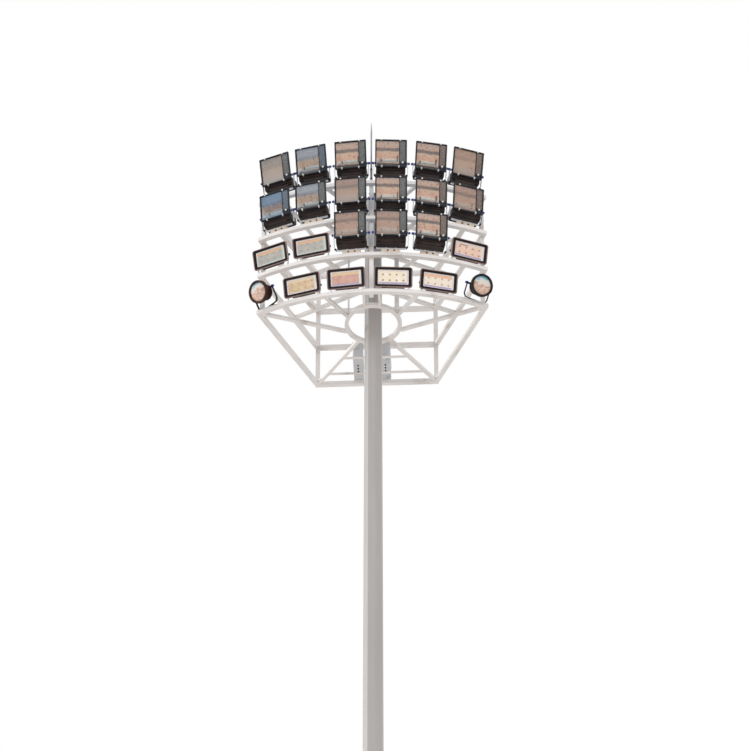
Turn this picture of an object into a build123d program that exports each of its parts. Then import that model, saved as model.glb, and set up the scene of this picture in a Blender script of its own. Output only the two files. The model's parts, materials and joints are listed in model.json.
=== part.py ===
from build123d import *
import os
from math import asin, atan2, cos, degrees, hypot, radians, sin, sqrt

# High-mast floodlight tower: an octagonal steel mast with a fan-shaped head of four tiers,
# whose curved front beams carry floodlights that tilt in stirrups.
# Millimetres, +Z up, front is -Y, origin on the mast's axis at the base flange's underside.

os.makedirs("parts", exist_ok=True)

# Mast shaft, widths across flats
mast_height = 20000.0
shaft_joint_height = 7600.0
shaft_width_top = 255.0
shaft_width_joint = 298.0
shaft_width_base = 420.0
shaft_wall = 6.0
shaft_sides = 8
shaft_turn = -7.7
joint_flange_width = 440.0
joint_flange_thickness = 25.0
cap_thickness = 18.0
cap_overhang = 14.0

# Cable gooseneck on the mast cap
gooseneck_pipe = 38.0
gooseneck_sides = 8
gooseneck_collar = 96.0
gooseneck_collar_height = 44.0
gooseneck_offset = 26.0
gooseneck_rise = 150.0
gooseneck_bend = 50.0
gooseneck_turn = 140.0
gooseneck_mitres = 5

# Base flange
base_width = 700.0
base_thickness = 30.0
anchor_circle = 590.0
anchor_hole = 45.0
anchor_count = shaft_sides
gusset_height = 220.0
gusset_thickness = 14.0
gusset_inset = 15.0
gusset_edge = 25.0

# Service door cover on the lower section
door_width = 130.0
door_height = 520.0
door_centre_height = 1150.0
door_thickness = 5.0
door_corner = 18.0

# Head: four tiers, seen from above a fan with its curved side to the front
tier_count = 4
tier_pitch = 820.0
top_tier_drop = 300.0
beam_size = 70.0
front_distance = 750.0
corner_half_width = 1820.0
corner_distance = 330.0
rear_half_width = 970.0
rear_distance = 1400.0
spoke_size = 55.0
brace_size = 50.0
brace_height = 50.0
spoke_share = 0.58
brace_share = 0.74
brace_front_x = 1497.0
front_spoke_x = 757.0
front_spoke_run = 375.0
front_spoke_slope = 1.366
trim_size = 400.0

# Bottom ring and what hangs on it
ring_radius = 430.0
ring_tube = 64.0
ring_side_angle = 20.0
ring_rear_angle = 56.3
link_offset = 125.0
link_width = 40.0
gear_bar_distance = 826.0
gear_bar_second_distance = 1190.0
gear_bar_size = 50.0
gear_box_size = (148.0, 610.0, 318.0)
gear_box_edge = 8.0
gear_lid_overhang = 9.0
gear_lid_height = 22.0
gear_lid_slope = 6.0
gear_box_centres = (-292.0, 153.0)

# Posts
corner_post_size = 60.0
corner_post_setback = 98.0
rear_post_size = 70.0
inner_post_right = (392.0, -285.0)
inner_post_right_size = 70.0
inner_post_left = (-385.0, -262.0)
inner_post_left_size = 28.0
centre_post_size = 70.0

# Lightning rod
rod_reach = 1414.0
rod_diameter = 30.0
rod_sides = 12
rod_tip_diameter = 6.0
rod_tip_length = 260.0
rod_clamp_height = 330.0
rod_clamp_size = 38.0

# Square floodlight, in its own frame: x along the hinge, y up the face, z out of the face
square_width = 520.0
square_height = 520.0
square_frame_depth = 35.0
square_frame_rim = 34.0
square_front = 100.0
square_centre_rise = 140.0
square_back = -130.0
square_back_width = 350.0
square_back_height = 290.0
square_wall = 5.0
square_pane_thickness = 6.0
square_cover_width = 83.0
square_cover_front = 91.0
# Tilt, and the hinge's height and reach forward, in each tier
square_fits = {1: (15.0, 330.0, 88.0),
               2: (8.0, 320.0, 92.0),
               3: (8.0, 342.0, 120.0)}
gear_case_width = 480.0
gear_case_front = 50.0
gear_case_back = -230.0
gear_case_top = -30.0
gear_case_bottom = -180.0
gear_case_step = 14.0

# Rectangular LED floodlight
led_width = 620.0
led_height = 365.0
led_bezel_depth = 25.0
led_bezel_corner = 36.0
led_bezel_rim = 32.0
led_bezel_recess = 6.0
led_front = 115.0
led_centre_rise = 20.0
led_body_width = 496.0
led_body_height = 250.0
led_body_depth = 52.0
led_fin_depth = 38.0
led_fin_count = 11
led_fin_thickness = 5.0
led_tilt = 18.0
led_pivot_height = 195.0
led_pivot_forward = 0.0

# Round spotlight
spot_sides = 24
spot_radius = 188.0
spot_neck_radius = 150.0
spot_rear_radius = 128.0
spot_front = 150.0
spot_rim_depth = 60.0
spot_rim_slope = 20.0
spot_back = -100.0
spot_pane_recess = 14.0
spot_wall = 6.0
spot_tilt = 30.0
spot_pivot_height = 200.0
spot_pivot_forward = 150.0

# Stirrups
stirrup_thickness = 8.0
stirrup_depth = 44.0
stirrup_gap = 13.0
led_stirrup_depth = 32.0
stirrup_corner = 60.0
stirrup_eye = 4.0
square_base_forward = 20.0
wedge_length = 200.0
led_wedge_rise = 6.0
led_base_forward = -16.0
spot_wedge_rise = 14.0
spot_base_forward = 14.0
pivot_gap = 0.5
ear_radius = 18.0
ear_arc = 120.0
foot_length = 300.0
foot_height = 75.0
foot_depth = 60.0
foot_wall = 8.0
seat_gap = 0.3

# Places of the floodlights along each front beam, as angles about the arc's centre.
# The second value raises the hinge, and a spotlight's third turns it on its foot.
square_places = {1: (-21.3, -13.05, -4.37, 4.37, 13.05, 21.3),
                 2: (-21.3, -13.05, -4.37, 4.37, 13.05, 21.3),
                 3: (-4.37, 4.37, 13.0)}
led_places = {3: ((-22.7, 46.0), (-13.2, 38.0), (21.8, 0.0)),
              4: ((-15.2, 17.0), (-5.4, 12.0), (4.8, 0.0), (14.7, 0.0))}
spot_places = {4: ((-23.3, 40.0, -20.0), (23.2, 0.0, 8.0))}

# Worked-out plan of the head
tier_heights = [mast_height - top_tier_drop - tier_pitch * tier for tier in range(tier_count)]
bottom_tier = tier_heights[-1]
arc_rise = front_distance - corner_distance
arc_radius = (corner_half_width**2 + arc_rise**2) / (2 * arc_rise)
arc_centre = arc_radius - front_distance
corner_angle = degrees(asin(corner_half_width / arc_radius))
beam_end_angle = corner_angle + degrees(beam_size / 2 / arc_radius)
ring_outer = ring_radius + ring_tube / 2


def shaft_width(height):
    """Width across flats of the mast at a height."""
    if height >= shaft_joint_height:
        share = (height - shaft_joint_height) / (mast_height - shaft_joint_height)
        return shaft_width_joint + (shaft_width_top - shaft_width_joint) * share
    share = height / shaft_joint_height
    return shaft_width_base + (shaft_width_joint - shaft_width_base) * share


def finish(piece, name):
    """Label a piece and write its file."""
    piece.part.label = name
    export_step(piece.part, f"parts/{name}.step")


def octagon(width, mode=Mode.ADD):
    """An octagon of the shaft's turn, by its width across flats."""
    RegularPolygon(width / 2, shaft_sides, major_radius=False,
                   rotation=180 / shaft_sides + shaft_turn, mode=mode)


def shaft_section(low, high, wide_low, wide_high):
    """A tapered octagonal tube between two heights."""
    taper = degrees(atan2((wide_low - wide_high) / 2, high - low))
    for inset, mode in ((0, Mode.ADD), (2 * shaft_wall, Mode.SUBTRACT)):
        with BuildSketch(Plane.XY.offset(low)) as section:
            octagon(wide_low - inset)
        extrude(section.sketch, amount=high - low, taper=taper, mode=mode)


def joint_flange(bottom):
    """A flat octagonal flange round the shaft."""
    with BuildSketch(Plane.XY.offset(bottom)) as flange:
        octagon(joint_flange_width)
        octagon(shaft_width_joint - shaft_wall, mode=Mode.SUBTRACT)
    extrude(flange.sketch, amount=joint_flange_thickness)


# Base flange: a plate with anchor holes and a ring of gusset ribs against the shaft
with BuildPart() as base_flange:
    with BuildSketch():
        octagon(base_width)
        with PolarLocations(anchor_circle / 2, anchor_count, start_angle=shaft_turn + 180 / anchor_count):
            Circle(anchor_hole / 2, mode=Mode.SUBTRACT)
    extrude(amount=base_thickness)
finish(base_flange, "base_flange")

# Lower mast section, with the upper flange of its joint
with BuildPart() as mast_lower:
    shaft_section(base_thickness, shaft_joint_height, shaft_width(base_thickness), shaft_width_joint)
    joint_flange(shaft_joint_height - joint_flange_thickness)
finish(mast_lower, "mast_lower_section")

# Gusset ribs between the flange plate and the middle of each facet of the shaft
with BuildPart() as base_gussets:
    rib_out = base_width / 2 - gusset_inset
    rib_in = (shaft_width_base - shaft_wall) / 2
    for rib in range(shaft_sides):
        rib_angle = radians(shaft_turn + rib * 360 / shaft_sides)
        rib_plane = Plane(origin=(0, 0, base_thickness), x_dir=(cos(rib_angle), sin(rib_angle), 0),
                          z_dir=(sin(rib_angle), -cos(rib_angle), 0))
        with BuildSketch(rib_plane):
            with BuildLine():
                Polyline((rib_in, 0), (rib_out, 0), (rib_out, gusset_edge),
                         (shaft_width_base / 2 + gusset_edge, gusset_height),
                         (rib_in, gusset_height), close=True)
            make_face()
        extrude(amount=gusset_thickness / 2, both=True)
    add(mast_lower.part, mode=Mode.SUBTRACT)
finish(base_gussets, "base_gussets")

# Upper mast section, with the lower flange of its joint
with BuildPart() as mast_upper:
    shaft_section(shaft_joint_height, mast_height, shaft_width_joint, shaft_width_top)
    joint_flange(shaft_joint_height)
finish(mast_upper, "mast_upper_section")

# Mast cap: a plate with turned-down rim
with BuildPart() as mast_cap:
    with BuildSketch(Plane.XY.offset(mast_height)):
        octagon(shaft_width_top + 2 * cap_overhang)
    extrude(amount=cap_thickness)
    chamfer(mast_cap.faces().sort_by(Axis.Z)[-1].edges(), cap_thickness / 2)
finish(mast_cap, "mast_cap")

# Cable gooseneck: a pipe that rises from a collar and bends over in mitred steps to keep the rain out
with BuildPart() as cable_gooseneck:
    collar_foot = mast_height + cap_thickness
    pipe_bend_start = collar_foot + gooseneck_rise
    bend_steps = [radians(gooseneck_turn * step / gooseneck_mitres) for step in range(gooseneck_mitres + 1)]
    with BuildSketch(Plane.XY.offset(collar_foot)):
        RegularPolygon(gooseneck_collar / 2, gooseneck_sides)
    extrude(amount=gooseneck_collar_height)
    with BuildLine(Plane.XZ) as neck:
        Polyline((gooseneck_offset, collar_foot),
                 *[(gooseneck_offset - gooseneck_bend * (1 - cos(step)),
                    pipe_bend_start + gooseneck_bend * sin(step)) for step in bend_steps])
    with BuildSketch(Plane(origin=neck.line @ 0, z_dir=neck.line % 0)):
        RegularPolygon(gooseneck_pipe / 2, gooseneck_sides)
    sweep(path=neck.line, transition=Transition.RIGHT)
finish(cable_gooseneck, "cable_gooseneck")

# Service door cover on the front facet of the lower section
facet_slope = (shaft_width_base - shaft_width_joint) / 2 / shaft_joint_height
facet_angle = radians(-90 + shaft_turn)
facet_out = Vector(cos(facet_angle), sin(facet_angle), facet_slope).normalized()
facet_reach = shaft_width(door_centre_height) / 2
door_plane = Plane(origin=(facet_reach * cos(facet_angle), facet_reach * sin(facet_angle), door_centre_height),
                   x_dir=(-sin(facet_angle), cos(facet_angle), 0), z_dir=facet_out)
with BuildPart() as service_door:
    with BuildSketch(door_plane.offset(seat_gap)):
        RectangleRounded(door_width, door_height, door_corner)
    extrude(amount=door_thickness)
finish(service_door, "service_door")


def strut(start, end, width):
    """A straight bar seen from above, between two points of its centre line."""
    run = (end[0] - start[0], end[1] - start[1])
    with Locations(((start[0] + end[0]) / 2, (start[1] + end[1]) / 2)):
        Rectangle(hypot(*run), width, rotation=degrees(atan2(run[1], run[0])))


def mirrored(point, side):
    """A plan point on the right (side 1) or left (side -1) of the head."""
    return (point[0] * side, point[1])


# Plan outlines that the bars of the head butt against
front_corner = (corner_half_width, -corner_distance)
rear_corner = (rear_half_width, rear_distance)
spoke_end = (front_corner[0] + (rear_corner[0] - front_corner[0]) * spoke_share,
             front_corner[1] + (rear_corner[1] - front_corner[1]) * spoke_share)
brace_start = (spoke_end[0] * brace_share, spoke_end[1] * brace_share)
brace_end = (brace_front_x, arc_centre - (arc_radius**2 - brace_front_x**2)**0.5)
front_spoke_start = (front_spoke_x, arc_centre - (arc_radius**2 - front_spoke_x**2)**0.5)

with BuildSketch() as beam_plan:
    with BuildLine():
        beam_outer = CenterArc((0, arc_centre), arc_radius + beam_size / 2,
                               -90 - beam_end_angle, 2 * beam_end_angle)
        beam_inner = CenterArc((0, arc_centre), arc_radius - beam_size / 2,
                               -90 - beam_end_angle, 2 * beam_end_angle)
        Line(beam_outer @ 0, beam_inner @ 0)
        Line(beam_outer @ 1, beam_inner @ 1)
    make_face()

with BuildSketch() as rear_bar_plan:
    with Locations((0, rear_distance)):
        Rectangle(2 * rear_half_width + beam_size, beam_size)

with BuildSketch() as side_bar_plan:
    for side in (-1, 1):
        strut(mirrored(front_corner, side), mirrored(rear_corner, side), beam_size)
    add(beam_plan.sketch, mode=Mode.SUBTRACT)
    add(rear_bar_plan.sketch, mode=Mode.SUBTRACT)

with BuildSketch() as mast_spoke_plan:
    for side in (-1, 1):
        strut((0, 0), mirrored(spoke_end, side), spoke_size)
    add(side_bar_plan.sketch, mode=Mode.SUBTRACT)

with BuildSketch() as ring_plan:
    Circle(ring_outer)


# Front beams: curved square tubes, one a tier
with BuildPart() as front_beams:
    for height in tier_heights:
        with BuildSketch(Plane.XY.offset(height - beam_size / 2)):
            add(beam_plan.sketch)
        extrude(amount=beam_size)
finish(front_beams, "front_beams")

# Side bars, from the front corners back to the rear corners
with BuildPart() as side_bars:
    for height in tier_heights:
        with BuildSketch(Plane.XY.offset(height - beam_size / 2)):
            add(side_bar_plan.sketch)
        extrude(amount=beam_size)
finish(side_bars, "side_bars")

# Rear bars
with BuildPart() as rear_bars:
    for height in tier_heights:
        with BuildSketch(Plane.XY.offset(height - beam_size / 2)):
            add(rear_bar_plan.sketch)
        extrude(amount=beam_size)
finish(rear_bars, "rear_bars")

# Mast spokes: the three upper tiers are held off the mast by two spokes each
with BuildPart() as mast_spokes:
    for height in tier_heights[:-1]:
        with BuildSketch(Plane.XY.offset(height - spoke_size / 2)):
            for side in (-1, 1):
                strut((0, 0), mirrored(spoke_end, side), spoke_size)
            add(side_bar_plan.sketch, mode=Mode.SUBTRACT)
            octagon(shaft_width(height - spoke_size / 2), mode=Mode.SUBTRACT)
        extrude(amount=spoke_size)
finish(mast_spokes, "mast_spokes")

# Brace bars, parallel to the side bars, from the mast spokes to the front beam
with BuildPart() as brace_bars:
    for height in tier_heights[:-1]:
        with BuildSketch(Plane.XY.offset(height - brace_height / 2)):
            for side in (-1, 1):
                strut(mirrored(brace_start, side), mirrored(brace_end, side), brace_size)
            add(beam_plan.sketch, mode=Mode.SUBTRACT)
            add(mast_spoke_plan.sketch, mode=Mode.SUBTRACT)
        extrude(amount=brace_height)
finish(brace_bars, "brace_bars")

# Bottom ring round the mast
with BuildPart() as bottom_ring:
    with BuildSketch(Plane.XY.offset(bottom_tier - ring_tube / 2)):
        Circle(ring_outer)
        Circle(ring_radius - ring_tube / 2, mode=Mode.SUBTRACT)
    extrude(amount=ring_tube)
finish(bottom_ring, "bottom_ring")

# Ring spokes: side spokes to the front corners, rear spokes to the rear corners,
# and two short links to the front beam
ring_side_end = (ring_outer * cos(radians(ring_side_angle)), ring_outer * sin(radians(ring_side_angle)))
ring_rear_end = (ring_outer * cos(radians(ring_rear_angle)), ring_outer * sin(radians(ring_rear_angle)))
front_spoke_end = (front_spoke_x - front_spoke_run, front_spoke_start[1] + front_spoke_run * front_spoke_slope)
with BuildPart() as ring_spokes:
    with BuildSketch(Plane.XY.offset(bottom_tier - spoke_size / 2)):
        for side in (-1, 1):
            strut(mirrored(ring_side_end, side), mirrored(front_corner, side), spoke_size)
            strut(mirrored(ring_rear_end, side), mirrored(rear_corner, side), spoke_size)
            strut((side * link_offset, 0), (side * link_offset, -front_distance), link_width)
            strut(mirrored(front_spoke_end, side), mirrored(front_spoke_start, side), spoke_size)
        add(ring_plan.sketch, mode=Mode.SUBTRACT)
        add(beam_plan.sketch, mode=Mode.SUBTRACT)
        add(side_bar_plan.sketch, mode=Mode.SUBTRACT)
        add(rear_bar_plan.sketch, mode=Mode.SUBTRACT)
    extrude(amount=spoke_size)
finish(ring_spokes, "ring_spokes")

# Front spokes of the upper tiers, from the front beam to the inner posts
with BuildPart() as front_spokes:
    for height in tier_heights[:-1]:
        with BuildSketch(Plane.XY.offset(height - brace_height / 2)):
            strut(inner_post_right, front_spoke_start, brace_size)
            strut(inner_post_left, mirrored(front_spoke_start, -1), brace_size)
            add(beam_plan.sketch, mode=Mode.SUBTRACT)
            for post, size in ((inner_post_right, inner_post_right_size),
                               (inner_post_left, inner_post_left_size)):
                with Locations((post[0], post[1] + trim_size / 2 - size / 2)):
                    Rectangle(trim_size, trim_size, mode=Mode.SUBTRACT)
        extrude(amount=brace_height)
finish(front_spokes, "front_spokes")

# Cross bars between the rear ring spokes, under the control gear boxes
with BuildPart() as gear_bars:
    for distance in (gear_bar_distance, gear_bar_second_distance):
        share = (distance - ring_rear_end[1]) / (rear_corner[1] - ring_rear_end[1])
        reach = ring_rear_end[0] + (rear_corner[0] - ring_rear_end[0]) * share
        with BuildSketch(Plane.XY.offset(bottom_tier + spoke_size / 2)):
            with Locations((0, distance)):
                Rectangle(2 * reach, gear_bar_size)
        extrude(amount=beam_size / 2 - spoke_size / 2)
finish(gear_bars, "gear_bars")

# Two control gear boxes behind the mast, on the cross bars and the rear bar, each with an overhanging lid
gear_box_middle = gear_bar_distance - gear_bar_size / 2 + gear_box_size[1] / 2
gear_lid_bottom = bottom_tier + beam_size / 2 + gear_box_size[2] - gear_lid_height
with BuildPart() as gear_boxes:
    for centre in gear_box_centres:
        with BuildSketch(Plane.XY.offset(bottom_tier + beam_size / 2)):
            with Locations((centre, gear_box_middle)):
                Rectangle(gear_box_size[0], gear_box_size[1])
        box = extrude(amount=gear_box_size[2] - gear_lid_height)
        chamfer(box.edges().filter_by(Axis.Z), gear_box_edge)
        with BuildSketch(Plane.XY.offset(gear_lid_bottom)):
            with Locations((centre, gear_box_middle)):
                Rectangle(gear_box_size[0] + 2 * gear_lid_overhang, gear_box_size[1] + 2 * gear_lid_overhang)
        lid = extrude(amount=gear_lid_height)
        chamfer(lid.faces().sort_by(Axis.Z)[-1].edges(), gear_lid_slope)
finish(gear_boxes, "gear_boxes")

# Corner posts between the tiers, on the side bars at the front and the rear bars at the back
side_run = (rear_corner[0] - front_corner[0], rear_corner[1] - front_corner[1])
side_length = hypot(*side_run)
corner_post_place = (front_corner[0] + side_run[0] * corner_post_setback / side_length,
                     front_corner[1] + side_run[1] * corner_post_setback / side_length)
side_bar_angle = degrees(atan2(side_run[1], side_run[0]))
with BuildPart() as corner_posts:
    for height in tier_heights[1:]:
        with BuildSketch(Plane.XY.offset(height + beam_size / 2)):
            for side in (-1, 1):
                with Locations(mirrored(corner_post_place, side)):
                    Rectangle(corner_post_size, corner_post_size, rotation=side * side_bar_angle)
                with Locations(mirrored(rear_corner, side)):
                    Rectangle(rear_post_size, rear_post_size)
        extrude(amount=tier_pitch - beam_size)
finish(corner_posts, "corner_posts")

# Inner posts: two on the ring, and one behind the middle of the front beams
with BuildPart() as inner_posts:
    top = tier_heights[0] + beam_size / 2
    with BuildSketch(Plane.XY.offset(bottom_tier + ring_tube / 2)):
        with Locations(inner_post_right):
            Rectangle(inner_post_right_size, inner_post_right_size)
        with Locations(inner_post_left):
            Rectangle(inner_post_left_size, inner_post_left_size)
    extrude(amount=top - bottom_tier - ring_tube / 2)
    with BuildSketch(Plane.XY.offset(bottom_tier - beam_size / 2)):
        with Locations((0, -front_distance + beam_size / 2 + centre_post_size / 2 + seat_gap)):
            Rectangle(centre_post_size, centre_post_size)
    extrude(amount=top - bottom_tier + beam_size / 2)
finish(inner_posts, "inner_posts")

# Lightning rod on the middle of the top front beam, in a square clamp
with BuildPart() as lightning_rod:
    rod_foot = tier_heights[0] + beam_size / 2
    rod_top = tier_heights[0] + rod_reach
    with BuildSketch(Plane.XY.offset(rod_foot)):
        with Locations((0, -front_distance)):
            Rectangle(rod_clamp_size, rod_clamp_size)
    extrude(amount=rod_clamp_height)
    with BuildSketch(Plane((0, -front_distance, rod_foot + rod_clamp_height))):
        RegularPolygon(rod_diameter / 2, rod_sides, major_radius=False)
    extrude(amount=rod_top - rod_tip_length - rod_foot - rod_clamp_height)
    with BuildSketch(Plane((0, -front_distance, rod_top - rod_tip_length))):
        RegularPolygon(rod_diameter / 2, rod_sides, major_radius=False)
    extrude(amount=rod_tip_length, taper=degrees(atan2((rod_diameter - rod_tip_diameter) / 2, rod_tip_length)))
finish(lightning_rod, "lightning_rod")


def beam_frame(tier, angle, yaw=0):
    """Middle of a front beam's top face at an angle, with x along the beam or turned from it, and z up."""
    turn = radians(angle)
    facing = radians(angle + yaw)
    place = (arc_radius * sin(turn), arc_centre - arc_radius * cos(turn),
             tier_heights[tier - 1] + beam_size / 2)
    return Plane(origin=place, x_dir=(cos(facing), sin(facing), 0), z_dir=(0, 0, 1))


def hinge_frame(foot, rise, forward, tilt):
    """A floodlight's own frame at rest: origin on its hinge, x along it, y up the face, z out of it."""
    lean = radians(tilt)
    pivot = foot.from_local_coords((0, -forward, rise))
    return Plane(origin=pivot, x_dir=foot.x_dir, z_dir=foot.y_dir * -cos(lean) - foot.z_dir * sin(lean))


def side_frame(frame):
    """The same origin seen from the side: x to the back of the floodlight, y up its face."""
    return Plane(origin=frame.origin, x_dir=-frame.z_dir, z_dir=frame.x_dir)


def hinge_ears(frame, start, reach, front):
    """Ears on both sides of a floodlight, rounded about its hinge and flared towards its front."""
    lean = radians(ear_arc / 2)
    flare = (ear_radius + front * cos(lean)) / sin(lean)
    for side in (-1, 1):
        seen = side_frame(frame)
        with BuildSketch(Plane(origin=frame.from_local_coords((side * start, 0, 0)), x_dir=seen.x_dir,
                               z_dir=seen.z_dir)) as ear:
            with BuildLine():
                bearing = CenterArc((0, 0), ear_radius, -ear_arc / 2, ear_arc)
                Polyline(bearing @ 1, (-front, flare), (-front, -flare), bearing @ 0)
            make_face()
        extrude(ear.sketch, amount=side * (reach - start))


def narrowing_block(frame, front, back, front_size, back_size):
    """A block that narrows towards the back: what a trapezoid's prism across the floodlight
    shares with another up its face."""
    middle = square_centre_rise
    with BuildPart() as block:
        with BuildSketch(side_frame(frame)):
            with BuildLine():
                Polyline((-front, middle - front_size[1] / 2), (-front, middle + front_size[1] / 2),
                         (-back, middle + back_size[1] / 2), (-back, middle - back_size[1] / 2), close=True)
            make_face()
        extrude(amount=front_size[0] / 2, both=True)
        with BuildSketch(Plane(origin=frame.origin, x_dir=frame.x_dir, z_dir=-frame.y_dir)):
            with BuildLine():
                Polyline((-front_size[0] / 2, front), (front_size[0] / 2, front),
                         (back_size[0] / 2, back), (-back_size[0] / 2, back), close=True)
            make_face()
        extrude(amount=middle + front_size[1], both=True, mode=Mode.INTERSECT)
    return block.part


def square_floodlight(frame):
    """Front frame, tapered reflector housing open behind the pane, pane, terminal cover and gear case."""
    middle = square_centre_rise
    opening = (square_width - 2 * square_frame_rim, square_height - 2 * square_frame_rim)
    rear = square_front - square_frame_depth
    outer_size = (square_width - 2 * square_wall, square_height - 2 * square_wall)
    inner_back = (square_back_width - 2 * square_wall, square_back_height - 2 * square_wall)
    with BuildPart() as lamp:
        add(narrowing_block(frame, rear, square_back, outer_size, (square_back_width, square_back_height)))
        with BuildSketch(frame.offset(rear)):
            with Locations((0, middle)):
                Rectangle(square_width, square_height)
        extrude(amount=square_frame_depth)
        with BuildSketch(side_frame(frame)):
            with BuildLine():
                Polyline((-gear_case_front, gear_case_top),
                         (-gear_case_front, gear_case_bottom + gear_case_step),
                         (-gear_case_front + gear_case_step, gear_case_bottom),
                         (-gear_case_back - 3 * gear_case_step, gear_case_bottom),
                         (-gear_case_back, gear_case_bottom + 3 * gear_case_step),
                         (-gear_case_back, gear_case_top - 2 * gear_case_step),
                         (-gear_case_back - 2 * gear_case_step, gear_case_top), close=True)
            make_face()
        extrude(amount=gear_case_width / 2, both=True)
        hinge_ears(frame, square_back_width / 2, square_width / 2 + stirrup_gap - pivot_gap, rear)
        add(narrowing_block(frame, square_front, square_back + square_wall, opening, inner_back),
            mode=Mode.SUBTRACT)
        with BuildSketch(frame.offset(rear + square_frame_depth / 2)):
            with Locations((0, middle)):
                Rectangle(opening[0] - 2 * square_wall, opening[1] - 2 * square_wall)
        extrude(amount=square_pane_thickness)
        with BuildSketch(frame.offset(rear + square_frame_depth / 2)):
            with Locations((opening[0] / 2 - square_wall - square_cover_width / 2, middle)):
                Rectangle(square_cover_width, opening[1] - 2 * square_wall)
        extrude(amount=square_cover_front - rear - square_frame_depth / 2)
    return lamp


def led_floodlight(frame):
    """Bezel with a recessed pane, body and a row of cooling fins behind."""
    middle = led_centre_rise
    rear = led_front - led_bezel_depth
    with BuildPart() as lamp:
        with BuildSketch(frame.offset(rear)) as bezel:
            with Locations((0, middle)):
                Rectangle(led_width, led_height)
            chamfer(bezel.vertices(), led_bezel_corner)
        extrude(amount=led_bezel_depth)
        with BuildSketch(frame.offset(led_front)):
            with Locations((0, middle)):
                Rectangle(led_width - 2 * led_bezel_rim, led_height - 2 * led_bezel_rim)
        extrude(amount=-led_bezel_recess, mode=Mode.SUBTRACT)
        with BuildSketch(frame.offset(rear)):
            with Locations((0, middle)):
                Rectangle(led_body_width, led_body_height)
        extrude(amount=-led_body_depth)
        with BuildSketch(frame.offset(rear - led_body_depth)):
            with Locations((0, middle)):
                with GridLocations((led_body_width - led_fin_thickness) / (led_fin_count - 1), 1,
                                   led_fin_count, 1):
                    Rectangle(led_fin_thickness, led_body_height)
        extrude(amount=-led_fin_depth)
        hinge_ears(frame, led_body_width / 2 - led_fin_thickness,
                   led_body_width / 2 + stirrup_gap - pivot_gap, rear)
    return lamp


def turned_part(frame, front, radius, length, end_radius, mode=Mode.ADD):
    """A length of a spotlight's barrel, from its front end to a wider or narrower rear end."""
    with BuildSketch(Plane(origin=frame.from_local_coords((0, 0, front)), x_dir=frame.x_dir,
                           z_dir=-frame.z_dir)) as section:
        RegularPolygon(radius, spot_sides, major_radius=False)
    extrude(section.sketch, amount=length, taper=degrees(atan2(radius - end_radius, length)), mode=mode)


def round_spotlight(frame):
    """Barrel with a deep front rim round the lens, a shoulder behind it and a narrowing rear."""
    neck = spot_front - spot_rim_depth - spot_rim_slope
    with BuildPart() as lamp:
        turned_part(frame, spot_front, spot_radius, spot_rim_depth, spot_radius)
        turned_part(frame, spot_front - spot_rim_depth, spot_radius, spot_rim_slope, spot_neck_radius)
        turned_part(frame, neck, spot_neck_radius, neck - spot_back, spot_rear_radius)
        turned_part(frame, spot_front, spot_radius - spot_wall, spot_pane_recess, spot_radius - spot_wall,
                    mode=Mode.SUBTRACT)
        hinge_ears(frame, spot_rear_radius / 2, spot_radius + stirrup_gap - pivot_gap, neck)
    return lamp


def stirrup(foot, half_width, rise, forward, depth, base_rise, base_forward):
    """U-shaped strap with folded corners, from its foot on the beam to the floodlight's hinge."""
    base = foot.from_local_coords((0, -base_forward, base_rise))
    pivot = foot.from_local_coords((0, -forward, rise))
    reach = (pivot - base).length
    arm = (pivot - base).normalized()
    inner = half_width + stirrup_gap
    top = reach + depth / 2 + stirrup_eye
    with BuildSketch(Plane(origin=base, x_dir=foot.x_dir, z_dir=foot.x_dir.cross(arm))) as strap:
        Rectangle(2 * (inner + stirrup_thickness), top, align=(Align.CENTER, Align.MIN))
        chamfer(strap.vertices().group_by(Axis.Y)[0], stirrup_corner)
        with BuildSketch(mode=Mode.SUBTRACT) as opening:
            with Locations((0, stirrup_thickness)):
                Rectangle(2 * inner, top, align=(Align.CENTER, Align.MIN))
            chamfer(opening.vertices().group_by(Axis.Y)[0], stirrup_corner - stirrup_thickness * (2 - sqrt(2)))
    extrude(strap.sketch, amount=depth / 2, both=True)


def foot_wedge(foot, rise, forward, depth, base_rise, base_forward):
    """Wedge between the beam and a leaning stirrup's flat base."""
    lean = atan2(forward - base_forward, rise - base_rise)
    run = depth / 2 * cos(lean)
    drop = depth / 2 * sin(lean)
    with BuildSketch(Plane(origin=foot.origin, x_dir=-foot.y_dir, z_dir=-foot.x_dir)) as wedge:
        with BuildLine():
            Polyline((base_forward - run, 0), (base_forward + run, 0), (base_forward + run, base_rise - drop),
                     (base_forward - run, base_rise + drop), close=True)
        make_face()
    extrude(wedge.sketch, amount=wedge_length / 2, both=True)


def foot_bracket(foot):
    """Channel bracket that lifts a stirrup off the beam."""
    with BuildSketch(Plane(origin=foot.origin, x_dir=foot.y_dir, z_dir=foot.x_dir)) as channel:
        with BuildLine():
            Polyline((-foot_depth / 2, 0), (-foot_depth / 2, foot_height), (foot_depth / 2, foot_height),
                     (foot_depth / 2, 0), (foot_depth / 2 - foot_wall, 0),
                     (foot_depth / 2 - foot_wall, foot_height - foot_wall),
                     (-foot_depth / 2 + foot_wall, foot_height - foot_wall), (-foot_depth / 2 + foot_wall, 0),
                     close=True)
        make_face()
    extrude(channel.sketch, amount=foot_length / 2, both=True)


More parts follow.
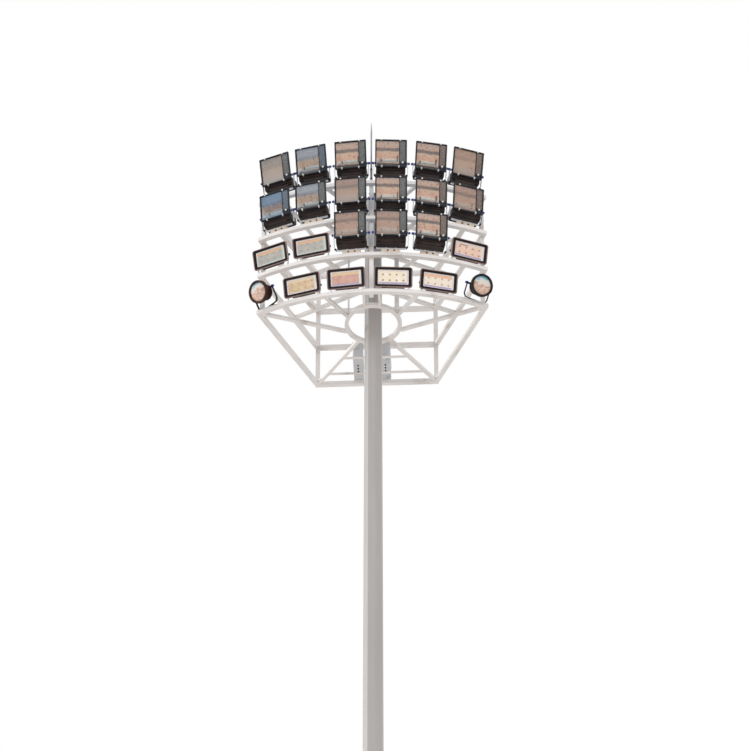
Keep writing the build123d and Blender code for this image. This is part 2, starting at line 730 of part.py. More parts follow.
# Floodlights: each is a body of its own, on its hinge
hinges = {}
for tier, angles in square_places.items():
    tilt, height, forward = square_fits[tier]
    for number, angle in enumerate(angles, 1):
        name = f"tier_{tier}_floodlight_{number}"
        foot = beam_frame(tier, angle)
        hinges[name] = hinge_frame(foot, height, forward, tilt)
        finish(square_floodlight(hinges[name]), name)
for tier, places in led_places.items():
    for number, (angle, lift) in enumerate(places, 1):
        name = f"tier_{tier}_led_floodlight_{number}"
        foot = beam_frame(tier, angle)
        hinges[name] = hinge_frame(foot, led_pivot_height + lift, led_pivot_forward, led_tilt)
        finish(led_floodlight(hinges[name]), name)
for tier, places in spot_places.items():
    for number, (angle, lift, yaw) in enumerate(places, 1):
        name = f"tier_{tier}_spotlight_{number}"
        foot = beam_frame(tier, angle, yaw)
        hinges[name] = hinge_frame(foot, spot_pivot_height + lift, spot_pivot_forward, spot_tilt)
        finish(round_spotlight(hinges[name]), name)

# Stirrups of each tier. A fit is the hinge's height and reach forward, the strap's depth,
# and the height and reach forward of its base.
for tier in range(1, tier_count + 1):
    with BuildPart() as stirrups:
        for angle in square_places.get(tier, ()):
            square_fit = (*square_fits[tier][1:], stirrup_depth, foot_height, square_base_forward)
            stirrup(beam_frame(tier, angle), square_width / 2, *square_fit)
            foot_bracket(beam_frame(tier, angle))
        for angle, lift in led_places.get(tier, ()):
            led_fit = (led_pivot_height + lift, led_pivot_forward, led_stirrup_depth, led_wedge_rise,
                       led_base_forward)
            stirrup(beam_frame(tier, angle), led_body_width / 2, *led_fit)
            foot_wedge(beam_frame(tier, angle), *led_fit)
        for angle, lift, yaw in spot_places.get(tier, ()):
            spot_fit = (spot_pivot_height + lift, spot_pivot_forward, stirrup_depth, spot_wedge_rise,
                        spot_base_forward)
            stirrup(beam_frame(tier, angle, yaw), spot_radius, *spot_fit)
            foot_wedge(beam_frame(tier, angle, yaw), *spot_fit)
    finish(stirrups, f"tier_{tier}_stirrups")
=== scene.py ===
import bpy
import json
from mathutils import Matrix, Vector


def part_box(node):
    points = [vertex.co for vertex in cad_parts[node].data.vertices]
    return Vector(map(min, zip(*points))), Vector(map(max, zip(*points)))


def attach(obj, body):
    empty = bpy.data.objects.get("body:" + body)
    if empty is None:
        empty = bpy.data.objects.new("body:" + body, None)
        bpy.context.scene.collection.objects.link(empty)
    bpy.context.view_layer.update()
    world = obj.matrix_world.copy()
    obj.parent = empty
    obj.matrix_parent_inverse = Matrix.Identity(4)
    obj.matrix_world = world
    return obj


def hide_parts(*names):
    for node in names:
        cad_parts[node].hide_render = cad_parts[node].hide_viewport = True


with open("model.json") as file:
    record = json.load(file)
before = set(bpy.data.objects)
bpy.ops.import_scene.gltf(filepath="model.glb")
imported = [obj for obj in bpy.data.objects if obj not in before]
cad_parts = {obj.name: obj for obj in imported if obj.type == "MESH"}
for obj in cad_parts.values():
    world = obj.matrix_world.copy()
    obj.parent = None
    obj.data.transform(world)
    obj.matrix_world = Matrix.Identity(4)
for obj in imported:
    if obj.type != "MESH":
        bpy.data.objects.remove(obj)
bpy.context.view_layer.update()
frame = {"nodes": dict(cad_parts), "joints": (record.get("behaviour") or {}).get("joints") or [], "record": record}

import json
import bpy
import numpy as np
from mathutils import Vector

record = frame["record"]
nodes = frame["nodes"]


# Base flange and gusset ribs: thick steel plate welded round the foot of the mast, galvanised and painted
# with it. The plate stands on the foundation and is held by anchor bolts, each with two nuts and a washer.
def paint(red, green, blue):
    """A colour from its screen values, 0 to 255, as linear light: ((c / 255 + 0.055) / 1.055) to the 2.4."""
    screen = np.array([red, green, blue]) / 255.0
    return (*(((screen + 0.055) / 1.055) ** 2.4).tolist(), 1.0)


def shade(colour, factor):
    """The same linear colour, lighter or darker."""
    return (*(min(1.0, part * factor) for part in colour[:3]), 1.0)


def new_finish(name):
    """An empty node material: the material, its tree, its shader and its object coordinates."""
    finish = bpy.data.materials.new(name)
    finish.use_nodes = True
    tree = finish.node_tree
    shader = tree.nodes["Principled BSDF"]
    place = tree.nodes.new("ShaderNodeTexCoord").outputs["Object"]
    return finish, tree, shader, place


def noise(tree, place, scale, detail=3.0, stretch=(1.0, 1.0, 1.0)):
    """Cloudy value from 0 to 1 on the object's own coordinates, stretched along each axis."""
    mapping = tree.nodes.new("ShaderNodeMapping")
    mapping.inputs["Scale"].default_value = stretch
    tree.links.new(place, mapping.inputs["Vector"])
    clouds = tree.nodes.new("ShaderNodeTexNoise")
    clouds.inputs["Scale"].default_value = scale
    clouds.inputs["Detail"].default_value = detail
    tree.links.new(mapping.outputs["Vector"], clouds.inputs["Vector"])
    return clouds.outputs["Fac"]


def cells(tree, place, scale):
    """Distance from the middles of small cells on the object's own coordinates."""
    pattern = tree.nodes.new("ShaderNodeTexVoronoi")
    pattern.inputs["Scale"].default_value = scale
    tree.links.new(place, pattern.inputs["Vector"])
    return pattern.outputs["Distance"]


def ramp(tree, value, stops):
    """Linear colours along a value: each stop is a position and a colour."""
    band = tree.nodes.new("ShaderNodeValToRGB")
    elements = band.color_ramp.elements
    elements[0].position, elements[0].color = stops[0]
    elements[1].position, elements[1].color = stops[-1]
    for position, colour in stops[1:-1]:
        elements.new(position).color = colour
    tree.links.new(value, band.inputs["Fac"])
    return band.outputs["Color"]


def tones(tree, value, stops):
    """Colours along a value, each stop a position and a colour's screen values."""
    return ramp(tree, value, [(position, paint(*screen)) for position, screen in stops])


def spread(tree, value, low, high):
    """A 0 to 1 value carried to another range."""
    span = tree.nodes.new("ShaderNodeMapRange")
    span.inputs["To Min"].default_value = low
    span.inputs["To Max"].default_value = high
    tree.links.new(value, span.inputs["Value"])
    return span.outputs["Result"]


def grain(tree, shader, height, strength, distance):
    """Surface relief from a height value."""
    bump = tree.nodes.new("ShaderNodeBump")
    bump.inputs["Strength"].default_value = strength
    bump.inputs["Distance"].default_value = distance
    tree.links.new(height, bump.inputs["Height"])
    tree.links.new(bump.outputs["Normal"], shader.inputs["Normal"])


def coat(tree, shader, colour, roughness, gloss=0.5):
    """A shader's colour from a socket, with its roughness and gloss."""
    tree.links.new(colour, shader.inputs["Base Color"])
    shader.inputs["Roughness"].default_value = roughness
    shader.inputs["Specular IOR Level"].default_value = gloss


def painted_steel(name, colour, grime, cloud_scale, stretch=(1.0, 1.0, 1.0)):
    """Paint on steel: soft clouds of the colour, grime in the low spots, and orange-peel relief."""
    finish, tree, shader, place = new_finish(name)
    full = paint(*colour)
    stops = [(0.28, paint(*grime)), (0.42, shade(full, 0.94)), (0.75, shade(full, 1.05))]
    tree.links.new(ramp(tree, noise(tree, place, cloud_scale, 4.0, stretch), stops),
                   shader.inputs["Base Color"])
    tree.links.new(spread(tree, noise(tree, place, 9.0), 0.36, 0.55), shader.inputs["Roughness"])
    grain(tree, shader, noise(tree, place, 140.0, 2.0), 0.12, 0.002)
    return finish


def dress(finish, *names):
    """The finish on solids of the frame that show as they are."""
    for name in names:
        nodes[name].data.materials.clear()
        nodes[name].data.materials.append(finish)


mast_paint = painted_steel("mast_paint", (171, 167, 164), (160, 153, 148), 1.6, (2.5, 2.5, 0.25))
steel_finish, steel_tree, steel_shader, steel_place = new_finish("zinc_plated_steel")
steel_tree.links.new(tones(steel_tree, cells(steel_tree, steel_place, 90.0),
                           [(0.0, (176, 186, 198)), (0.9, (206, 216, 228))]),
                     steel_shader.inputs["Base Color"])
steel_tree.links.new(spread(steel_tree, noise(steel_tree, steel_place, 40.0), 0.3, 0.5),
                     steel_shader.inputs["Roughness"])
steel_shader.inputs["Metallic"].default_value = 0.35
dress(mast_paint, "base_flange", "base_gussets")


def rounded(width, height, radius=0.0, steps=3):
    """Outline of a rectangle with round corners: each a quarter circle of the radius in equal angles."""
    turn = np.linspace(0.0, np.pi / 2, steps + 1)
    turned_corner = np.stack([np.cos(turn), np.sin(turn)], -1) * radius
    reach = np.array([width / 2 - radius, height / 2 - radius])
    quarter = np.array([[0.0, 1.0], [-1.0, 0.0]])
    outline = []
    for side in ((1.0, 1.0), (-1.0, 1.0), (-1.0, -1.0), (1.0, -1.0)):
        outline.append(turned_corner + side * reach)
        turned_corner = turned_corner @ quarter
    return np.concatenate(outline)


def circle(radius, count=24, start=0.0):
    """Outline of a circle in equal angles: radius times cosine and sine."""
    turn = start + np.linspace(0.0, 2 * np.pi, count, endpoint=False)
    return np.stack([np.cos(turn), np.sin(turn)], -1) * radius


def layers(outlines, heights, centre=(0.0, 0.0)):
    """Rings of a form that rises along its third axis: outline k, moved to the centre, at height k."""
    return np.stack([np.column_stack([outline + centre, np.full(len(outline), height)])
                     for outline, height in zip(outlines, heights)])


def turned(radii, heights, count, start=0.0):
    """Rings of a form turned about its third axis: a circle of radius k at height k."""
    return layers([circle(radius, count, start) for radius in radii], heights)


def plates(sizes, heights, steps=3):
    """Rings of rounded rectangles: width, height and corner radius k at height k."""
    return layers([rounded(*size, steps) for size in sizes], heights)


def unit(directions):
    """Directions made one long: each divided by the root of the sum of its squares."""
    return directions / np.linalg.norm(directions, axis=-1, keepdims=True)


def placed(rings, origin, x_axis, y_axis, z_axis):
    """Rings carried to a place: origin plus each coordinate along its own axis."""
    return np.asarray(origin) + rings @ np.array([x_axis, y_axis, z_axis])


def skin(rings, loop=False):
    """Points and faces of a closed form: point j of ring i joins j + 1 and the same two of ring i + 1.
    The ends are closed flat, or joined to each other in a loop, and the faces are turned outward by the
    sign of the volume, the sum of each triangle's triple product."""
    ring_count, point_count = rings.shape[:2]
    index = np.arange(ring_count * point_count).reshape(ring_count, point_count)
    if loop:
        index = np.vstack([index, index[:1]])
    near, far = index[:-1], index[1:]
    quads = np.stack([near, np.roll(near, -1, 1), np.roll(far, -1, 1), far], -1).reshape(-1, 4)
    points = rings.reshape(-1, 3)
    ends = [] if loop else [index[0][::-1], index[-1]]
    fans = [np.stack([np.full(len(end) - 2, end[0]), end[1:-1], end[2:]], -1) for end in ends]
    triangles = np.concatenate([quads[:, :3], quads[:, [0, 2, 3]], *fans])
    corners = (points - points.mean(0))[triangles]
    volume = np.einsum("ij,ij->", corners[:, 0], np.cross(corners[:, 1], corners[:, 2]))
    if volume < 0:
        quads = quads[:, ::-1]
        ends = [end[::-1] for end in ends]
    return points, quads.tolist() + [end.tolist() for end in ends]


def piece(name, skins, finish, body, replaced=(), sharp=0.6):
    """One mesh from closed forms, smooth except where faces meet at more than the sharp angle."""
    points, faces, start = [], [], 0
    for form_points, form_faces in skins:
        points.append(form_points)
        faces += [[corner + start for corner in face] for face in form_faces]
        start += len(form_points)
    mesh = bpy.data.meshes.new(name)
    mesh.from_pydata(np.concatenate(points).tolist(), [], faces)
    mesh.shade_smooth()
    mesh.set_sharp_from_angle(angle=sharp)
    mesh.materials.append(finish)
    made = bpy.data.objects.new(name, mesh)
    bpy.context.scene.collection.objects.link(made)
    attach(made, body)
    if replaced:
        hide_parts(*replaced)
    return made


UP = np.array([0.0, 0.0, 1.0])
shaft_turn = np.radians(-7.7)


def bolt_circle(count, radius, height):
    """Each bolt's place and its axes on a circle: turned with the shaft, half a step from its corners."""
    for turn in shaft_turn + (np.arange(count) + 0.5) * 2 * np.pi / count:
        out, along = (np.cos(turn), np.sin(turn), 0.0), (-np.sin(turn), np.cos(turn), 0.0)
        yield np.array(out) * radius + (0.0, 0.0, height), out, along, UP


anchors = next(mount for mount in record["mounts"] if mount["name"] == "anchor_bolts")["dims"]
plate_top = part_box("base_flange")[1][2]
stud_end = plate_top + 0.103
nut_radii, nut_edge = (0.033, 0.037, 0.037, 0.033), 0.003
nut_starts, nut_ends = plate_top + np.array([0.007, 0.042]), plate_top + np.array([0.041, 0.071])
anchor_forms = [turned([0.0185, 0.021, 0.021, 0.018], [0.001, 0.004, stud_end - 0.005, stud_end], 16),
                turned([0.039, 0.039], [plate_top, nut_starts[0]], 20)]
for low, high, turn in zip(nut_starts, nut_ends, (0.0, 0.3)):
    anchor_forms.append(turned(nut_radii, [low, low + nut_edge, high - nut_edge, high], 6, turn))
piece("anchor_bolts", [skin(placed(form, *place))
                       for place in bolt_circle(int(anchors["count"]), anchors["pcd_mm"] / 2000, 0.0)
                       for form in anchor_forms], steel_finish, "tower")


# Mast: two tapered octagonal shafts of bent plate, welded along one edge and bolted together at a flange
# joint. Painted light grey, with faint run marks and dust along its length.
dress(mast_paint, "mast_lower_section", "mast_upper_section", "mast_cap")
joint_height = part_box("mast_upper_section")[0][2]
joint_flange, joint_bolt_circle = 0.025, 0.186
head_radii = (0.0135, 0.0155, 0.0155, 0.0135)
joint_forms = [turned(head_radii, joint_flange + np.array([0.0, 0.002, 0.012, 0.0145]), 6),
               turned(head_radii, -joint_flange - np.array([0.0, 0.002, 0.014, 0.0165]), 6),
               turned([0.009, 0.009], [-0.052, -0.038], 12)]
piece("joint_bolts", [skin(placed(form, *place)) for place in bolt_circle(16, joint_bolt_circle, joint_height)
                      for form in joint_forms], steel_finish, "tower")


def weld_bead(path, size):
    """A round weld along a closed path: a six-sided ring about each point, across the path's direction."""
    path = np.asarray(path, float)
    side = unit(np.cross(unit(np.roll(path, -1, 0) - np.roll(path, 1, 0)), UP))
    ring = circle(size, 6)
    rings = path[:, None] + ring[None, :, :1] * side[:, None] + ring[None, :, 1:] * UP
    return skin(rings, loop=True)


def octagon(width, height):
    """The eight corners of the shaft at a height, from its width across flats."""
    radius = width / 2 / np.cos(np.pi / 8)
    outline = circle(radius, 8, shaft_turn + np.pi / 8)
    return np.column_stack([outline, np.full(8, height)])


foot_width, joint_width, cap_width = 0.421, 0.2985, 0.256
mast_welds = [weld_bead(octagon(foot_width, plate_top + 0.002), 0.009),
              weld_bead(octagon(joint_width, joint_height + joint_flange + 0.001), 0.006),
              weld_bead(octagon(joint_width, joint_height - joint_flange - 0.001), 0.006),
              weld_bead(octagon(cap_width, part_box("mast_cap")[0][2] - 0.003), 0.005)]
piece("mast_welds", mast_welds, mast_paint, "tower", sharp=1.2)


# Service door: a cover of sheet steel near the foot, on two hinges, with two three-sided key locks.
# An earthing lug with its bolt is welded beside it.
dress(mast_paint, "service_door")
door_turn = shaft_turn - np.pi / 2
door_out = np.array([np.cos(door_turn), np.sin(door_turn), 0.0])
door_across = np.array([-np.sin(door_turn), np.cos(door_turn), 0.0])
door_middle = np.mean(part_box("service_door"), axis=0)
door_face, door_lean = 0.0042, 0.008
door_up = UP - door_out * door_lean
key_across, knuckle_across, knuckle_out, fitting_rise = 0.042, 0.067, 0.002, 0.19
lock = turned([0.015, 0.015, 0.012, 0.008], [0.0, 0.004, 0.0055, 0.0045], 18)
key = turned([0.006, 0.006], [0.002, 0.008], 3)
knuckle = turned([0.0055, 0.0065, 0.0065, 0.0055], [-0.026, -0.024, 0.024, 0.026], 12)
door_skins = []
for rise in (-fitting_rise, fitting_rise):
    level = door_middle + door_up * rise
    spot = level + door_across * key_across + door_out * door_face
    door_skins += [skin(placed(rings, spot, door_across, UP, door_out)) for rings in (lock, key)]
    spot = level - door_across * knuckle_across + door_out * knuckle_out
    door_skins.append(skin(placed(knuckle, spot, door_out, door_across, door_up)))
lug = plates([(0.04, 0.05, 0.006)] * 2, [-0.004, 0.006])
lug_bolt = turned([0.011, 0.012, 0.012, 0.010], [0.006, 0.007, 0.014, 0.016], 6)
lug_height, lug_out, lug_across = 0.42, 0.2035, 0.02
lug_spot = door_out * lug_out + door_across * lug_across + np.array([0.0, 0.0, lug_height])
door_skins += [skin(placed(rings, lug_spot, door_across, UP, door_out)) for rings in (lug, lug_bolt)]
piece("door_fittings", door_skins, steel_finish, "tower")


# Head frame: square steel tubes cut and welded into four fan-shaped tiers, painted pale grey. Dust and water leave
# soft clouds of browner grime on it.
head_paint = painted_steel("head_paint", (238, 234, 231), (198, 187, 178), 2.2)
dress(head_paint, "front_beams", "side_bars", "rear_bars", "mast_spokes", "brace_bars", "bottom_ring",
      "ring_spokes", "front_spokes", "gear_bars", "corner_posts", "inner_posts")
beam, tier_pitch = 0.070, 0.820
top_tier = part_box("front_beams")[1][2] - beam / 2
tiers = top_tier - tier_pitch * np.arange(4)
front_distance, corner_half_width, corner_distance = 0.750, 1.820, 0.330
rear_half_width, rear_distance = 0.970, 1.400
arc_rise = front_distance - corner_distance
arc_radius = (corner_half_width**2 + arc_rise**2) / (2 * arc_rise)
arc_centre = arc_radius - front_distance


def square_path(x, y, z, size, turn=0.0):
    """The four corners of a square post at a height."""
    corners = np.array([[1, 1], [-1, 1], [-1, -1], [1, -1]]) * size / 2
    outline = corners @ np.array([[np.cos(turn), np.sin(turn)], [-np.sin(turn), np.cos(turn)]])
    return np.column_stack([outline + (x, y), np.full(4, z)])


corner_post, rear_post, post_weld, post_setback = 0.061, 0.069, 0.0045, 0.098
side_run = np.array([rear_half_width - corner_half_width, rear_distance + corner_distance])
side_angle = np.arctan2(side_run[1], side_run[0])
post_x, post_y = np.array([corner_half_width, -corner_distance]) + unit(side_run) * post_setback
post_welds = []
for lower in tiers[1:]:
    for end in (lower + beam / 2 + 0.001, lower + tier_pitch - beam / 2 - 0.001):
        for side in (-1, 1):
            corner_path = square_path(side * post_x, post_y, end, corner_post, side * side_angle)
            rear_path = square_path(side * rear_half_width, rear_distance, end, rear_post)
            post_welds += [weld_bead(corner_path, post_weld), weld_bead(rear_path, post_weld)]
piece("post_welds", post_welds, head_paint, "tower", sharp=1.2)


# Cable gooseneck: a black pipe that bends over on the mast's cap to keep the rain out, in a bolted collar.
# A rubber gland closes its mouth.
def cloudy(name, low, high, scale, roughness, detail=3.0, gloss=0.5, stretch=(1.0, 1.0, 1.0), grit=0.0):
    """A finish in soft clouds between two colours, with fine relief where a grit's scale is given."""
    finish, tree, shader, place = new_finish(name)
    clouds = noise(tree, place, scale, detail, stretch)
    coat(tree, shader, tones(tree, clouds, [(0.3, low), (0.7, high)]), roughness, gloss)
    if grit:
        grain(tree, shader, noise(tree, place, grit, 2.0), 0.25, 0.001)
    return finish


LOW_GLOSS = 0.2
black_paint = cloudy("black_paint", (20, 20, 22), (38, 38, 41), 9.0, 0.42, 4.0)
rubber_finish = cloudy("black_rubber", (18, 18, 20), (30, 30, 32), 60.0, 0.75, gloss=LOW_GLOSS)


def bent_pipe(path, radii, beside, sides=20):
    """A round pipe along a path in a plane: each ring is the path's point plus its radius times the cosine
    across the plane's normal and the sine along the path's own normal."""
    path = np.asarray(path, float)
    normal = np.cross(unit(np.gradient(path, axis=0)), beside)
    ring = circle(1.0, sides)
    rings = path[:, None] + np.asarray(radii)[:, None, None] * (
        ring[None, :, :1] * np.asarray(beside, float) + ring[None, :, 1:] * normal[:, None])
    return skin(rings)


neck_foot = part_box("cable_gooseneck")[0][2]
neck_x, neck_rise, neck_bend, neck_radius = 0.026, 0.150, 0.050, 0.0185
collar_x, collar_bolt_circle = neck_x - 0.012, 0.037
neck_turn = np.radians(np.linspace(0.0, 140.0, 15))
neck_path = np.column_stack([neck_x - neck_bend * (1 - np.cos(neck_turn)), np.zeros(15),
                             neck_foot + neck_rise + neck_bend * np.sin(neck_turn)])
neck_path = np.concatenate([[[neck_x, 0.0, neck_foot + 0.040]], neck_path])
collar = turned([0.047, 0.047, 0.044, 0.030, 0.026], [0.0, 0.011, 0.014, 0.016, 0.043], 24)
neck_skins = [bent_pipe(neck_path, np.full(16, neck_radius), (0.0, 1.0, 0.0)),
              skin(collar + (0.0, 0.0, neck_foot) + (collar_x, 0.0, 0.0))]
piece("cable_gooseneck", neck_skins, black_paint, "tower", ("cable_gooseneck",))
mouth_run = unit(neck_path[-1] - neck_path[-2])
gland_path = neck_path[-1] + mouth_run * np.array([[-0.006], [0.0], [0.004], [0.006]])
piece("gooseneck_gland", [bent_pipe(gland_path, [0.0195, 0.0195, 0.017, 0.010], (0.0, 1.0, 0.0))],
      rubber_finish, "tower")
collar_bolt = turned([0.0062, 0.0068, 0.0068, 0.0055], [0.011, 0.014, 0.019, 0.021], 6)
collar_spots = circle(collar_bolt_circle, 4, np.pi / 4) + (collar_x, 0.0)
piece("collar_bolts", [skin(collar_bolt + (*spot, neck_foot)) for spot in collar_spots], steel_finish,
      "tower")


# Control gear boxes: two sheet steel cabinets on cross bars behind the mast, with a folded lid, a door on
# each long side with two locks and three hinges, and a gland plate below.
gear_paint = painted_steel("gear_box_paint", (206, 207, 209), (170, 168, 166), 5.0)
dress(gear_paint, "gear_boxes")
box_low, box_high = (np.array(corner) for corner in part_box("gear_boxes"))
box_width, lid_overhang, lid_height = 0.148, 0.009, 0.022
lock_across, pin_across, pin_out = 0.255, 0.284, 0.003
lock_rises, pin_rises = (-0.09, 0.09), (-0.1, 0.0, 0.1)
gland_places, gland_plate_back = (-0.10, -0.03, 0.04), 0.03
box_centres = (box_low[0] + lid_overhang + box_width / 2, box_high[0] - lid_overhang - box_width / 2)
box_middle = (box_low[1] + box_high[1]) / 2
door_height = box_high[2] - box_low[2] - lid_height
panel = plates([(0.560, 0.262, 0.010), (0.560, 0.262, 0.010), (0.553, 0.255, 0.008)],
               [-0.0005, 0.0025, 0.0040])
box_lock = turned([0.011, 0.011, 0.008, 0.004], [0.003, 0.008, 0.0095, 0.0085], 16)
box_pin = turned([0.005, 0.0058, 0.0058, 0.005], [-0.021, -0.019, 0.019, 0.021], 12)
box_gland = turned([0.013, 0.013, 0.010, 0.008], [-0.001, -0.012, -0.014, -0.024], 6)
gland_plate = plates([(0.106, 0.250, 0.006), (0.110, 0.254, 0.008), (0.110, 0.254, 0.008)],
                     [-0.003, -0.002, 0.0])
doors, locks, glands = [], [], []
for centre in box_centres:
    for side in (-1, 1):
        wall = np.array([centre + side * box_width / 2, box_middle, box_low[2] + door_height / 2])
        door_axes = (0, side, 0), UP, (side, 0, 0)
        doors.append(skin(placed(panel, wall, *door_axes)))
        for rise in lock_rises:
            locks.append(skin(placed(box_lock, wall + (0, side * lock_across, rise), *door_axes)))
        for rise in pin_rises:
            spot = wall + (side * pin_out, -side * pin_across, rise)
            locks.append(skin(placed(box_pin, spot, (side, 0, 0), (0, side, 0), UP)))
    glands += [skin(box_gland + (centre, box_middle + shift, box_low[2])) for shift in gland_places]
    doors.append(skin(gland_plate + (centre, box_middle - gland_plate_back, box_low[2])))
piece("gear_box_doors", doors, gear_paint, "tower")
piece("gear_box_fittings", locks, steel_finish, "tower")
piece("gear_box_glands", glands, rubber_finish, "tower")


# Lightning rod: a galvanised rod drawn out to a point, held to a flat bar on the middle of the top front
# beam by two bolted clamps.
rod_finish = cloudy("weathered_zinc", (140, 136, 139), (168, 164, 166), 14.0, 0.5, 4.0,
                    stretch=(1.0, 1.0, 0.2))
rod_low, rod_high = (np.array(corner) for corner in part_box("lightning_rod"))
rod_x, rod_y = ((rod_low + rod_high) / 2)[:2]
rod_length = rod_high[2] - rod_low[2]
rod_heights = [0.001, 0.004, *(rod_length - np.array([0.26, 0.235, 0.13, 0.02, 0.0]))]
rod = turned([0.012, 0.0145, 0.0145, 0.014, 0.0095, 0.004, 0.001], np.array(rod_heights) + rod_low[2], 20)
flat_bar = plates([(0.036, 0.006, 0.001)] * 2, [0.0, 0.330], 1) + (0.0, 0.0170, rod_low[2])
piece("lightning_rod", [skin(form + (rod_x, rod_y, 0.0)) for form in (rod, flat_bar)], rod_finish,
      "tower", ("lightning_rod",))
clamp = plates([(0.038, 0.037, 0.012)] * 2, [-0.016, 0.016])
clamp_nut = turned([0.006, 0.007, 0.007, 0.005], [0.0, 0.001, 0.006, 0.008], 6)
clamp_skins = []
for height in (0.060, 0.270):
    clamp_skins.append(skin(clamp + (rod_x, rod_y, rod_low[2] + height)))
    for side in (-1, 1):
        spot = np.array([rod_x + side * 0.010, rod_y - 0.0184, rod_low[2] + height])
        clamp_skins.append(skin(placed(clamp_nut, spot, (1, 0, 0), UP, (0, -1, 0))))
piece("rod_clamps", clamp_skins, black_paint, "tower")


# Stirrups: U-shaped straps of galvanised flat bar that carry the floodlights at their hinge bolts. Those of
# the square floodlights are bolted to painted channel feet with plugged holes and have rubber pads in their
# bends. The others stand on a wedge on the beam.
def lamp_frame(joint):
    """A floodlight's hinge: its place, the axis along the beam, and the level direction that it faces."""
    along = np.array(joint["axis"])
    return np.array(joint["pos_m"]), along, np.array([along[1], -along[0], 0.0])


def tier_of(joint):
    """The tier's number in a floodlight's name."""
    return int(joint["name"].split("_")[1])


def kind_of(joint, rows):
    """A floodlight's entry in rows that list each tier's floodlights from left to right."""
    return rows[tier_of(joint)][int(joint["child"].split("_")[-1]) - 1]


def bent_strap(pivot, along, facing, rise, forward, half_width, depth, base_rise, base_forward):
    """A flat bar along a U: arm, quarter circle, base, quarter circle, arm. Across the path the profile is
    the bar's thickness by its depth. Past the hinge the depth shrinks as the square root of 1 - d squared."""
    thickness, bend, edge, arm_end = 0.008, 0.066, 0.0015, 0.026
    base = pivot - UP * (rise - base_rise) - facing * (forward - base_forward)
    arm = pivot - base
    reach = np.linalg.norm(arm)
    arm /= reach
    outer = half_width + 0.013 + thickness / 2
    turn = np.linspace(0.0, np.pi / 2, 9)
    past = np.array([0.0255, 0.024, 0.020, 0.013, 0.006, 0.0])
    arm_rise = np.concatenate([reach + past, [reach * 0.7 + bend * 0.3]])
    left = np.column_stack([np.full(len(arm_rise), -outer), arm_rise])
    corner = np.column_stack([-outer + bend - bend * np.cos(turn),
                              thickness / 2 + bend - bend * np.sin(turn)])
    half = np.concatenate([left, corner])
    path = np.concatenate([half, half[::-1] * (-1.0, 1.0)])
    run = unit(np.gradient(path, axis=0))
    normal = np.column_stack([-run[:, 1], run[:, 0]])
    beyond = np.clip((path[:, 1] - reach) / arm_end, 0.0, 0.98)
    width = depth / 2 * np.sqrt(1.0 - beyond**2)
    thin, deep_edge = 1 - edge / (thickness / 2), 1 - edge / (depth / 2)
    profile = np.array([[1, deep_edge], [thin, 1], [-thin, 1], [-1, deep_edge],
                        [-1, -deep_edge], [-thin, -1], [thin, -1], [1, -deep_edge]])
    flat = path[:, None] + normal[:, None] * profile[None, :, :1] * thickness / 2
    deep = width[:, None] * profile[None, :, 1]
    rings = base + flat[..., :1] * along + flat[..., 1:] * arm + deep[..., None] * np.cross(along, arm)
    return skin(rings)


led_lights = [joint for joint in frame["joints"] if "_led_" in joint["name"]]
spotlights = [joint for joint in frame["joints"] if "spotlight" in joint["name"]]
floodlights = [joint for joint in frame["joints"] if joint not in led_lights + spotlights]
foot_height, foot_forward = 0.075, 0.020
SQUARE_STRAP = dict(half_width=0.260, depth=0.044, base_rise=foot_height, base_forward=foot_forward)
LED_STRAP = dict(half_width=0.248, depth=0.032, base_rise=0.006, base_forward=-0.016)
SPOT_STRAP = dict(half_width=0.188, depth=0.044, base_rise=0.014, base_forward=0.014)
spot_forward = 0.150


def hinge_reach(joint):
    """A hinge's height over its beam's top face and its reach forward of the beam's middle line: its
    distance from the arc's centre less the arc's radius, or the fixed reach of a turned spotlight."""
    pivot = np.array(joint["pos_m"])
    rise = pivot[2] - tiers[tier_of(joint) - 1] - beam / 2
    if joint in spotlights:
        return rise, spot_forward
    return rise, np.hypot(pivot[0], pivot[1] - arc_centre) - arc_radius


bolt_blue = cloudy("blue_bolt_cap", (6, 10, 118), (12, 18, 150), 30.0, 0.45)
# The straps' pale blue-white is the zinc's own pale colour and in part a painted reflection of the sky.
strap_zinc_and_sky_reflection = cloudy("pale_zinc_strap_painted_sky_reflection", (206, 214, 224), (228, 233, 240), 24.0, 0.4, 4.0)
edge_finish = cloudy("black_front_frame", (26, 30, 36), (46, 52, 60), 6.0, 0.45, 4.0, LOW_GLOSS)
foot_paint = painted_steel("foot_paint", (222, 207, 190), (184, 162, 142), 8.0)


def foot_channel(base, along, facing):
    """A channel with its open side down: the outline of a U carried along the beam."""
    half, edge, wall, half_length = 0.030, 0.004, 0.008, 0.150
    right = np.array([[half - edge, foot_height], [half, foot_height - edge], [half, 0.0],
                      [half - wall, 0.0], [half - wall, foot_height - wall]])
    outline = np.concatenate([right, right[::-1] * (-1.0, 1.0)])
    outline = np.roll(outline, 3, axis=0)
    return skin(placed(layers([outline] * 2, [-half_length, half_length]), base, facing, UP, along))


def foot_wedge(base, along, facing, lean, strap):
    """The block between the beam and a leaning strap's flat base: its side outline carried along the beam."""
    run, drop = strap["depth"] / 2 * np.cos(lean), strap["depth"] / 2 * np.sin(lean)
    middle, high = strap["base_forward"], strap["base_rise"]
    outline = np.array([[middle - run, 0.0], [middle - run, high + drop], [middle + run, high - drop],
                        [middle + run, 0.0]])
    return skin(placed(layers([outline] * 2, [-0.1, 0.1]), base, facing, UP, along))


